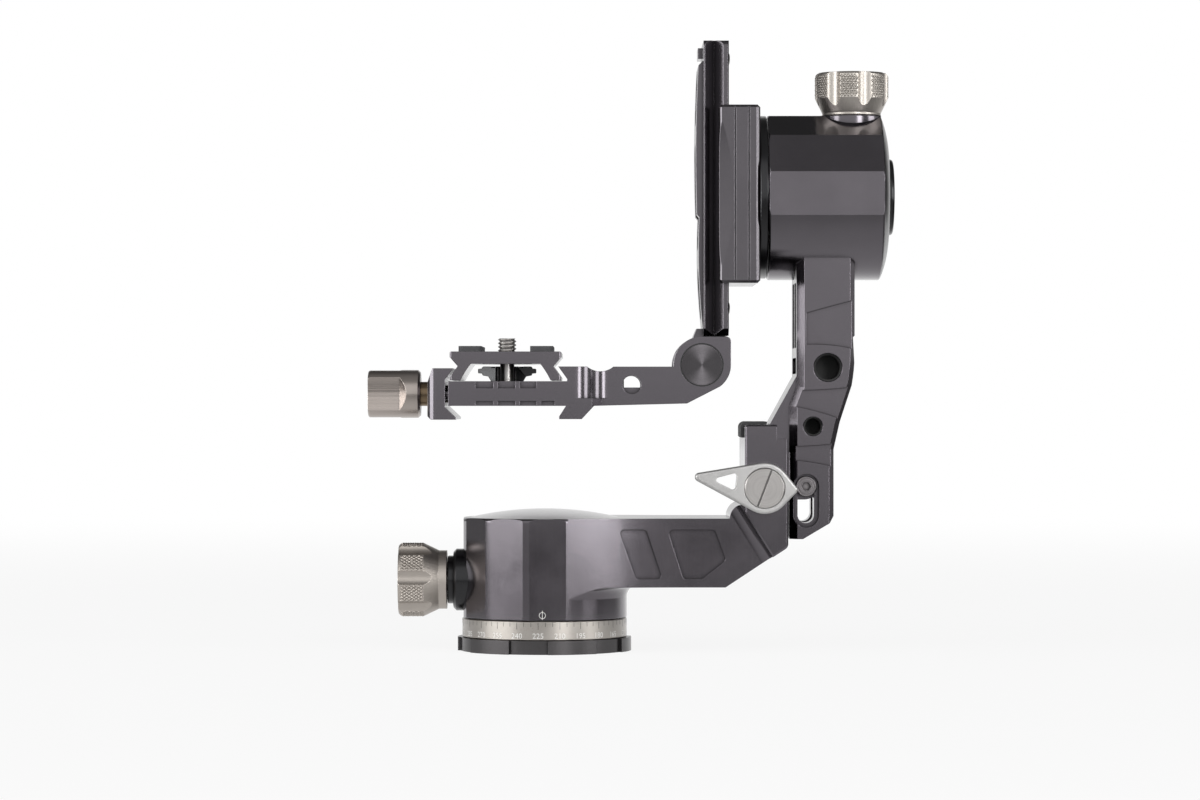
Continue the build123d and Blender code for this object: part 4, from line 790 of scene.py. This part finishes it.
def joined(name: str, parts: Sequence[Piece]) -> Piece:
    """Join pieces that lie at the origin into one mesh.

    Args:
        name: Name of the joined piece.
        parts: The pieces; they are removed.

    Returns:
        The joined piece.
    """
    points: list[Vector] = []
    faces: list[list[int]] = []
    material = parts[0].data.materials[0]
    for part in parts:
        start = len(points)
        points.extend(vertex.co.copy() for vertex in part.data.vertices)
        faces.extend([start + index for index in face.vertices] for face in part.data.polygons)
        bpy.data.objects.remove(part)
    return solid_piece(name, points, faces, material)


def even(radius: float) -> Radius:
    """Radius that is the same all round."""
    return lambda angle: radius


def hexagon(radius: float) -> Radius:
    """Radius of a hexagonal socket with that corner radius."""
    half = math.pi / 6
    return lambda angle: radius * math.cos(half) / math.cos(angle % (2 * half) - half)


def helix(root: float, crest: float, height: float, pitch: float) -> Radius:
    """Radius of a screw thread at one height.

    Args:
        root: Radius at the bottom of the thread.
        crest: Radius at its top.
        height: Height of the ring.
        pitch: Rise of one turn.

    Returns:
        The radius as a function of the angle.
    """
    def radius(angle: float) -> float:
        phase = (height / pitch - angle / (TURN)) % 1.0
        rise = min(1.0, max(0.0, 1.25 * (1.0 - abs(2.0 * phase - 1.0)) - 0.1))
        return root + (crest - root) * rise

    return radius


def axis_place(x: float, y: float, z: float, facing: Direction, flip: bool = False) -> Matrix:
    """Matrix that lays a turned body's Z axis along a direction.

    Args:
        x: Place along X in millimetres.
        y: Place along Y in millimetres.
        z: Place along Z in millimetres.
        facing: Direction of the body's axis.
        flip: Whether the axis points the other way.

    Returns:
        The matrix.
    """
    aim = Vector(facing.value) * (-1.0 if flip else 1.0)
    return Matrix.Translation(mm(x, y, z)) @ aim.to_track_quat("Z", "Y").to_matrix().to_4x4()


# ---------------------------------------------------------------- sub-assemblies
@dataclass
class ScaledBase(Assembly):
    """Fixed base with its degree scale."""

    ring_radius: float = 28.4
    ring_low: float = 4.7
    ring_high: float = 11.3
    tick_count: int = 72
    short_tick: float = 1.5
    long_tick: float = 2.4
    tick_width: float = 0.16
    tick_gap: float = 0.35
    proud: float = 0.02
    figure_size: float = 2.622
    figure_rise: float = 0.75
    figure_step: int = 15
    zero_turn: float = 131.4

    def ticks(self) -> Piece:
        """Make the ring of degree ticks.

        Returns:
            The ticks as one mesh.
        """
        recipe = Recipe("dial_ticks")
        count = recipe.size("count", self.tick_count)
        radius = recipe.size("radius", self.ring_radius * MM)
        height = recipe.size("top", (self.ring_high - self.tick_gap) * MM)
        short = recipe.size("short length", self.short_tick * MM)
        long = recipe.size("long length", self.long_tick * MM)
        index = recipe.index()
        third = 1.0 - (index % 3.0).held()
        length = short + third * (long - short)
        circle = recipe.node("GeometryNodeMeshCircle", None, {"Vertices": count, "Radius": radius})
        raised = recipe.node("GeometryNodeSetPosition", None,
                             {"Geometry": circle,
                              "Offset": recipe.point(0.0, 0.0, height - length * 0.5)})
        turn = index * (TURN / count)
        bar = recipe.node("GeometryNodeMeshCube", None,
                          {"Size": (2 * self.proud * MM, self.tick_width * MM, 1.0)})
        spread = recipe.node("GeometryNodeInstanceOnPoints", None,
                             {"Points": raised, "Instance": bar,
                              "Rotation": recipe.point(0.0, 0.0, turn),
                              "Scale": recipe.point(1.0, 1.0, length)})
        return recipe.bake(spread, self.shop.ink_dark,
                           Matrix.Rotation(math.radians(self.zero_turn), 4, "Z"))

    def figures(self) -> Piece:
        """Make the figures of the scale and wrap them round the ring.

        Returns:
            All figures as one mesh.
        """
        points: list[Vector] = []
        faces: list[list[int]] = []
        for degree in range(0, 360, self.figure_step):
            curve = bpy.data.curves.new("figure", "FONT")
            curve.body = str(degree)
            curve.size = self.figure_size * MM
            curve.align_x = "CENTER"
            curve.resolution_u = 3
            carrier = bpy.data.objects.new("figure", curve)
            mesh = evaluated(carrier)
            start = len(points)
            out = (self.ring_radius + self.proud) * MM
            middle = math.radians(self.zero_turn - degree)
            for vertex in mesh.vertices:
                angle = middle + vertex.co.x / out
                points.append(Vector((out * math.cos(angle), out * math.sin(angle),
                                      (self.ring_low + self.figure_rise) * MM + vertex.co.y)))
            faces.extend([start + index for index in face.vertices] for face in mesh.polygons)
            bpy.data.objects.remove(carrier)
            bpy.data.curves.remove(curve)
            bpy.data.meshes.remove(mesh)
        return solid_piece("dial_figures", points, faces, self.shop.ink_pale, solid=False)

    def build(self) -> None:
        """Dress the base and add its scale."""
        self.dress(self.shop.graphite, "base_flange")
        self.dress(self.shop.dial, "scale_ring")
        self.dress(self.shop.steel, "pan_spindle", "spindle_nut", "thread_bush", "base_screws")
        self.fit(self.ticks(), "base", "black_aluminium")
        self.fit(self.figures(), "base", "satin_aluminium")


@dataclass
class PanHousing(Assembly):
    """Pan housing with its lock, cap and index mark."""

    flat_turn: float = -87.0
    flat_out: float = 27.8
    mark_x: float = -0.35
    mark_z: float = 13.3
    mark_radius: float = 1.15
    mark_line: float = 0.17
    mark_low: float = 11.75
    mark_high: float = 14.95
    mark_steps: int = 40
    proud: float = 0.02
    knob_foot: float = -33.7
    lock_z: float = 24.3
    knob_turn: float = 31.0

    def index_mark(self) -> Piece:
        """Paint the index mark: a small circle crossed by a line.

        Returns:
            The mark as one mesh.
        """
        turn = math.radians(self.flat_turn)
        normal = Vector((math.cos(turn), math.sin(turn), 0.0))
        along = Vector((-normal.y, normal.x, 0.0))
        base = normal * (self.flat_out + self.proud)
        start = (self.mark_x - base.x) / along.x
        points: list[Vector] = []
        for step in range(self.mark_steps):
            angle = TURN * step / self.mark_steps
            for radius in (self.mark_radius, self.mark_radius - self.mark_line):
                spot = base + along * (start + radius * math.cos(angle))
                points.append(mm(spot.x, spot.y, self.mark_z + radius * math.sin(angle)))
        faces = [face[::-1] for face in quads(self.mark_steps, 2, True, False)]
        first = len(points)
        half = self.mark_line / 2
        for across, height in ((-half, self.mark_low), (half, self.mark_low),
                               (half, self.mark_high), (-half, self.mark_high)):
            spot = base + normal * self.proud / 2 + along * (start + across)
            points.append(mm(spot.x, spot.y, height))
        faces.append((first, first + 1, first + 2, first + 3))
        return solid_piece("index_mark", points, faces, self.shop.ink_pale, solid=False)

    def build(self) -> None:
        """Dress the housing and add its mark and the knob's knurl."""
        shop = self.shop
        self.dress(shop.gunmetal_cut, "pan_housing")
        self.dress(Spun("cap_spun", tone(142, 139, 142), (0.0, 0.0, 46.0), Direction.Z,
                        roughness=0.22, rings=0.2, film=1.0, film_roughness=0.1).make(),
                   "pan_top_cap")
        self.dress(shop.black, "pan_knob_collar")
        self.dress(shop.rubber, "fold_bumper")
        self.dress(shop.steel, "pan_bearings", "pan_knob_stud")
        self.dress(shop.bronze, "pan_brake_shoe")
        self.dress(shop.champagne, "pan_knob")
        self.fit(self.index_mark(), "pan", "satin_aluminium")
        axes = Matrix(((0, 0, -1, self.knob_foot * MM), (-1, 0, 0, 0), (0, 1, 0, self.lock_z * MM),
                       (0, 0, 0, 1)))
        knurl = Knurl("pan_knob_knurl", foot=2.7).make(axes, self.knob_turn, shop.champagne)
        self.fit(knurl, "pan_lock", "champagne_aluminium")


@dataclass
class FoldJoint(Assembly):
    """Lever, clamp shoe and pivot of the folding joint."""

    lever: Spot = (74.8, 0.0, 56.6)
    pivot: Spot = (89.6, 0.0, 56.9)

    def build(self) -> None:
        """Dress the lever and the pivot."""
        self.dress(self.shop.silver, "fold_lever")
        self.dress(Spun("lever_cap_turned", tone(171, 168, 166), self.lever, Direction.Y,
                        roughness=0.34, rings=0.2, pitch=0.1).make(), "fold_lever_cap")
        self.dress(Spun("pivot_turned", tone(118, 114, 116), self.pivot, Direction.Y,
                        rings=0.9, pitch=0.5).make(), "fold_pivot_bolt", "fold_pivot_nut")
        self.dress(self.shop.steel, "fold_lever_stud")
        self.dress(self.shop.bronze, "fold_clamp_shoe")


@dataclass
class UprightArm(Assembly):
    """Upright arm with the tilt housing, its lock and its threaded holes."""

    knob_x: float = 106.2
    knob_foot: float = 184.7
    knob_turn: float = -7.3
    flank: float = -19.0
    hole_3_8: Span = (97.0, 97.5)
    hole_1_4: Span = (91.9, 77.4)
    hole_depth: float = 11.0
    thread_start: float = 0.5
    thread_steps: int = 6

    def thread(self, name: str, spot: tuple[float, float], radius: float, depth: float,
               pitch: float) -> Piece:
        """Cut the thread of a hole as a thin near-black lining, painted shade inside the hole.

        Args:
            name: Name of the lining.
            spot: X and Z of the hole.
            radius: Radius of the bore.
            depth: Radial depth of the thread.
            pitch: Rise of one turn.

        Returns:
            The lining.
        """
        rings: list[tuple[Radius, float]] = []
        rise = pitch / self.thread_steps
        for step in range(int(self.hole_depth / rise) + 1):
            height = self.thread_start + step * rise
            rings.append((helix(radius - 0.05, radius - depth, height, pitch), height))
        rings += [(even(radius - 0.01), rings[end][1]) for end in (-1, 0)]
        place = axis_place(spot[0], self.flank, spot[1], Direction.Y)
        # The lining is near-black: painted shade inside the hole.
        lining = Turned(name, 36).make(rings, self.shop.gap, place, closed=True)
        end = self.hole_depth + 0.9
        tip = [(even(radius - 0.02), end - 0.1), (even(radius - 0.02), end - 0.3),
               (even(radius * 0.5), end - 0.2), (even(0.05), end - 0.1)]
        return joined(name, [lining, Turned(name + "_floor", 36).make(tip, self.shop.gap, place)])

    def build(self) -> None:
        """Dress the arm and its lock, and cut the threads and the knurl."""
        shop = self.shop
        self.dress(shop.gunmetal_side, "upper_arm")
        self.dress(shop.black, "tilt_end_cap", "tilt_cap_button")
        self.dress(shop.steel, "tilt_bearings", "tilt_knob_stud")
        self.dress(shop.bronze, "tilt_brake_shoe")
        # The tilt knob wears the champagne finish painted lighter: painted light.
        self.dress(shop.champagne_light, "tilt_knob")
        self.fit(self.thread("thread_3_8", self.hole_3_8, 4.76, 0.62, 1.5875), "arm",
                 "gunmetal_aluminium")
        self.fit(self.thread("thread_1_4", self.hole_1_4, 3.17, 0.5, 1.27), "arm",
                 "gunmetal_aluminium")
        axes = Matrix(((0, 1, 0, self.knob_x * MM), (-1, 0, 0, 0), (0, 0, 1, self.knob_foot * MM),
                       (0, 0, 0, 1)))
        knurl = Knurl("tilt_knob_knurl", foot=0.7).make(axes, self.knob_turn, shop.champagne_light)
        self.fit(knurl, "tilt_lock", "champagne_aluminium")


@dataclass
class RailClamp(Assembly):
    """Tilting shaft, rail clamp and swing rail."""

    rail_right: float = 63.2
    screw_heights: Span = (204.3, 118.1)
    head_radius: float = 2.35
    head_rise: float = 0.9
    shank_radius: float = 1.75
    shank: float = 5.0
    socket_radius: float = 1.05
    rail_knob: Spot = (68.5, 0.0, 156.5)

    def stop_screws(self) -> Piece:
        """Turn the two button-head stop screws of the rail.

        Returns:
            Both screws as one mesh.
        """
        out, socket = self.head_radius, self.socket_radius
        rings = [(even(self.shank_radius), -self.shank), (even(self.shank_radius), 0.0),
                 (even(out), 0.0), (even(out), 0.2), (even(out * 0.93), 0.5),
                 (even(out * 0.78), 0.75), (even(out * 0.6), self.head_rise),
                 (hexagon(socket), self.head_rise), (hexagon(socket), 0.15), (even(0.05), 0.1)]
        places = [axis_place(self.rail_right, 0.0, height, Direction.X)
                  for height in self.screw_heights]
        screw = Turned("stop_screw", 24)
        return joined("rail_stop_heads", [screw.make(rings, self.shop.steel, place)
                                          for place in places])

    def build(self) -> None:
        """Dress the clamp and the rail."""
        shop = self.shop
        self.dress(shop.gunmetal_rail, "rail_clamp", "rail_jaw", "swing_rail")
        self.dress(shop.black, "tilt_spindle")
        self.dress(shop.steel, "tilt_brake_drum", "tilt_spindle_nut", "rail_clamp_screws",
                   "rail_knob_screw")
        self.dress(Spun("rail_knob_turned", tone(140, 132, 127), self.rail_knob, Direction.Y,
                        rings=0.3, pitch=0.2).make(), "rail_knob")
        self.fit(self.stop_screws(), "rail", "stainless_steel", "rail_stop_screws")


@dataclass
class CameraPlatform(Assembly):
    """Hinged camera platform with its clamp."""

    hinge_x: float = 54.0
    hinge_z: float = 98.4
    ear_half: float = 19.0
    cap_radius: float = 7.0
    seam: float = 0.42
    seam_rise: float = 0.03
    play: float = 0.01
    knob: Spot = (-42.8, 0.0, 88.5)

    def hinge_seams(self) -> Piece:
        """Lay painted shade: near-black rings round the two hinge caps, where their gaps lie in
        shade.

        Returns:
            Both painted shade rings as one mesh.
        """
        inner, outer = self.cap_radius + self.play, self.cap_radius + self.seam
        rings = [(even(inner), 0.0), (even(outer), 0.0), (even(outer), self.seam_rise),
                 (even(inner), self.seam_rise)]
        seams = [Turned("hinge_gap_shade_ring", 64).make(
            rings, self.shop.gap, axis_place(self.hinge_x, side * self.ear_half, self.hinge_z,
                                             Direction.Y, side < 0), closed=True)
            for side in (-1, 1)]
        return joined("hinge_seams", seams)

    def build(self) -> None:
        """Dress the platform and its clamp."""
        shop = self.shop
        self.dress(shop.gunmetal_side, "camera_platform", "platform_jaw")
        self.dress(shop.steel, "hinge_pin")
        self.dress(shop.brass, "platform_knob_screw")
        self.dress(Spun("platform_knob_turned", tone(172, 163, 157), self.knob, Direction.X,
                        rings=0.35, pitch=0.16).make(), "platform_knob")
        # The hinge caps get a painted highlight wedge above and below their axis.
        self.dress(Spun("hinge_spun_painted_highlight", tone(88, 85, 88), (self.hinge_x, 0.0, self.hinge_z),
                        Direction.Y, roughness=0.2, rings=0.35, pitch=0.3, groove=0.05,
                        sheen=1.6).make(), "hinge_pin_caps")
        self.fit(self.hinge_seams(), "platform", "black_aluminium")


@dataclass
class QuickReleasePlate(Assembly):
    """Quick-release plate with its pads and its camera screw."""

    plate_x: float = -12.9
    shank_low: float = 91.2
    plate_top: float = 102.9
    screw_top: float = 107.8
    shank_radius: float = 2.45
    crest: float = 3.175
    root: float = 2.5
    pitch: float = 1.27
    screw_bevel: float = 0.5
    slot_half: float = 2.58
    open_turn: float = 74.0
    wheel: tuple[tuple[float, float], ...] = (
        (2.6, 90.9), (4.3, 90.9), (4.6, 91.2), (6.6, 94.5), (8.3, 94.8), (8.6, 95.0), (8.7, 95.5),
        (9.9, 95.6), (10.1, 95.8), (10.1, 97.0), (9.9, 97.2), (8.9, 97.3), (8.6, 97.8), (8.3, 98.0),
        (6.0, 98.0), (5.7, 97.5), (4.2, 97.5), (3.9, 98.0), (2.6, 98.0))

    def camera_screw(self) -> Piece:
        """Turn the camera screw with its thread.

        Returns:
            The screw.
        """
        rings = [(even(self.shank_radius - 0.35), self.shank_low),
                 (even(self.shank_radius), self.shank_low + 0.35),
                 (even(self.shank_radius), self.plate_top - 0.4)]
        step = self.pitch / 10
        count = int((self.screw_top - self.plate_top + 0.3) / step)
        for number in range(count + 1):
            height = min(self.plate_top - 0.3 + number * step, self.screw_top)
            limit = self.crest - max(0.0, height - (self.screw_top - self.screw_bevel))
            turn = helix(self.root, self.crest, height, self.pitch)
            rings.append((lambda angle, turn=turn, limit=limit: min(turn(angle), limit), height))
        place = axis_place(self.plate_x, 0.0, 0.0, Direction.Z)
        # The screw wears the steel finish painted lighter: painted light.
        return Turned("camera_screw_thread", 40).make(rings, self.shop.bright_steel, place)

    def finger_wheel(self) -> Piece:
        """Make the slotted wheel that turns the camera screw.

        Returns:
            The wheel.
        """
        steps = 44
        points: list[Vector] = []
        for radius, height in self.wheel:
            start = max(math.asin(min(1.0, self.slot_half / radius)), math.radians(self.open_turn))
            for step in range(steps + 1):
                angle = start + (TURN - 2 * start) * step / steps
                points.append(mm(self.plate_x + radius * math.sin(angle), -radius * math.cos(angle),
                                 height))
        count, row = len(self.wheel), steps + 1
        faces = quads(count, row, True, False)
        faces += [tuple(index * row + end for index in range(count)) for end in (0, steps)]
        return solid_piece("camera_screw_wheel", points, faces, self.shop.black)

    def build(self) -> None:
        """Dress the plate and make its screw and wheel."""
        self.dress(self.shop.gunmetal_side, "quick_release_plate")
        self.dress(self.shop.pad_rubber, "plate_pads")
        self.fit(self.camera_screw(), "camera_fixing", "stainless_steel", "camera_screw")
        self.fit(self.finger_wheel(), "camera_fixing", "black_aluminium", "camera_screw_ring")


# ---------------------------------------------------------------- studio
@dataclass(frozen=True)
class Softbox:
    """One soft lamp: its place in metres, its size in metres and its power in watts."""

    name: str
    place: Spot
    size: tuple[float, float]
    power: float


@dataclass
class Studio:
    """Pale floor, soft lamps and the camera."""

    scale: float = 2.89
    image_width: float = 1200.0
    distance: float = 1385.0
    eye_x: float = 19.2
    eye_z: float = 86.4
    sensor: float = 36.0
    aim: Spot = (0.03, 0.0, 0.1)
    room_mirrored: float = 0.28
    ceiling_dim: float = 0.75
    ceiling_edge: Span = (-0.1, 0.6)
    wall_edge: Span = (0.82, 0.94)
    front_mirrored: float = 1.5
    front_rise: float = 0.35
    front_left: float = 0.28
    front_edge: Span = (0.84, 1.03)
    side_mirrored: float = 0.4
    side_edge: Span = (0.9, 0.99)
    floor_half: float = 6.0
    floor_tone: float = 0.86
    floor_glow: float = 0.88
    floor_fade: Span = (0.3, 1.6)
    floor_dim: float = 0.63
    near_edge: Span = (-0.5, 0.25)
    far_edge: Span = (1.6, 2.6)
    lane_dim: float = 0.35
    lane_edge: Span = (0.002, 0.024)
    beside_dim: float = 0.65
    beside_edge: Span = (0.5, 0.85)
    beside_reach: Span = (0.01, 0.09)
    lamps: tuple[Softbox, ...] = (
        Softbox("left_softbox", (-1.43, -0.68, 0.22), (1.25, 1.2), 22.0),
        Softbox("right_softbox", (0.72, -1.42, 0.22), (0.4, 1.2), 10.0),
        Softbox("side_softbox", (1.48, -0.66, 0.22), (0.55, 1.2), 10.0),
    )

    def camera(self) -> None:
        """Set the camera at the height and distance that the view needs."""
        data = bpy.data.cameras.new("studio_camera")
        data.sensor_width = self.sensor
        data.lens = self.sensor * self.scale * self.distance / self.image_width
        data.clip_start = 0.05
        data.clip_end = 50.0
        camera = bpy.data.objects.new("studio_camera", data)
        camera.location = mm(self.eye_x, -self.distance, self.eye_z)
        camera.rotation_euler = (math.radians(90.0), 0.0, 0.0)
        bpy.context.scene.collection.objects.link(camera)
        bpy.context.scene.camera = camera

    def hang(self, box: Softbox) -> None:
        """Hang one soft lamp that faces the head.

        Args:
            box: The lamp.
        """
        data = bpy.data.lights.new(box.name, "AREA")
        data.shape = "RECTANGLE"
        data.size, data.size_y = box.size
        data.energy = box.power
        lamp = bpy.data.objects.new(box.name, data)
        lamp.location = box.place
        aim = Vector(self.aim) - Vector(box.place)
        lamp.rotation_euler = aim.to_track_quat("-Z", "Y").to_euler()
        bpy.context.scene.collection.objects.link(lamp)

    def sky(self) -> None:
        """Make the room: white to the eye, a white wall behind and a dim room in mirrors."""
        world = bpy.data.worlds.new("studio_world")
        world.use_nodes = True
        board = Board(world.node_tree)
        eye = board.rays("Camera", "Transmission")
        across, back, up = board.parts(board.node("ShaderNodeTexCoord").outputs["Generated"])
        wall = back.eased(*self.wall_edge)
        room = self.room_mirrored * (1.0 - back.eased(*self.ceiling_edge) * self.ceiling_dim)
        left = (across * -self.front_left).held()
        raised = (up * self.front_rise - back + left).eased(*self.front_edge)
        front = raised * (self.front_mirrored - self.room_mirrored)
        sides = (across * across).eased(*self.side_edge) * self.side_mirrored
        seen = (wall * (1.0 - self.room_mirrored) + front + room + sides).held()
        level = eye + (1.0 - eye) * seen
        ground = board.node("ShaderNodeBackground", None, {"Color": WHITE, "Strength": level})
        board.node("ShaderNodeOutputWorld", None, {"Surface": ground})
        bpy.context.scene.world = world

    def floor(self) -> None:
        """Lay the pale floor that keeps the shadow and fades into the white wall."""
        half = self.floor_half
        sheet = Sheet("floor_paper")
        away = sheet.number(sheet.vector("LENGTH", sheet.place()), "Value").eased(*self.floor_fade)
        across, depth = sheet.parts(sheet.place())[:2]
        mirror = sheet.rays("Glossy")
        # Painted shadow seen only in mirrors: the floor is dimmed near the head, more in a lane
        # straight in front and beside it.
        lane = 1.0 - (across * across / (depth * depth)).eased(*self.lane_edge)
        near = (1.0 - depth.eased(*self.near_edge)) * (1.0 - (depth * -1.0).eased(*self.far_edge))
        out = across * across + depth * depth
        beside = (across * across / out).eased(*self.beside_edge) * out.eased(*self.beside_reach)
        dim = near * (lane * self.lane_dim + self.floor_dim) + beside * self.beside_dim
        level = 1.0 - mirror * dim.held()
        glow = sheet.node("ShaderNodeEmission", None, {"Color": WHITE, "Strength": level})
        paper = sheet.node("ShaderNodeBsdfDiffuse", None, {"Color": (self.floor_tone,) * 3})
        close = mirror * (1.0 - self.floor_glow) + self.floor_glow
        looked_at = sheet.rays("Camera", "Glossy", "Transmission")
        share = looked_at * (away * (1.0 - close) + close)
        mix = sheet.node("ShaderNodeMixShader", None, {0: share, 1: paper, 2: glow})
        sheet.node("ShaderNodeOutputMaterial", None, {"Surface": mix})
        corners = [Vector((x * half, y * half, 0.0))
                   for x, y in ((-1, -1), (1, -1), (1, 1), (-1, 1))]
        solid_piece("floor", corners, [(0, 1, 2, 3)], sheet.material, solid=False)

    def build(self) -> None:
        """Set up the whole studio."""
        self.sky()
        self.floor()
        for box in self.lamps:
            self.hang(box)
        self.camera()
        bpy.context.scene.view_settings.view_transform = "Standard"
        log.info("set up the studio")


def main() -> None:
    """Build every sub-assembly in order, then the studio."""
    logging.basicConfig(level=logging.INFO, format="%(name)s: %(message)s")
    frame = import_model()
    shop = Workshop()
    for kind in (ScaledBase, PanHousing, FoldJoint, UprightArm, RailClamp, CameraPlatform,
                 QuickReleasePlate):
        kind(frame, shop).build()
    Studio().build()


if __name__ == "__main__":
    main()
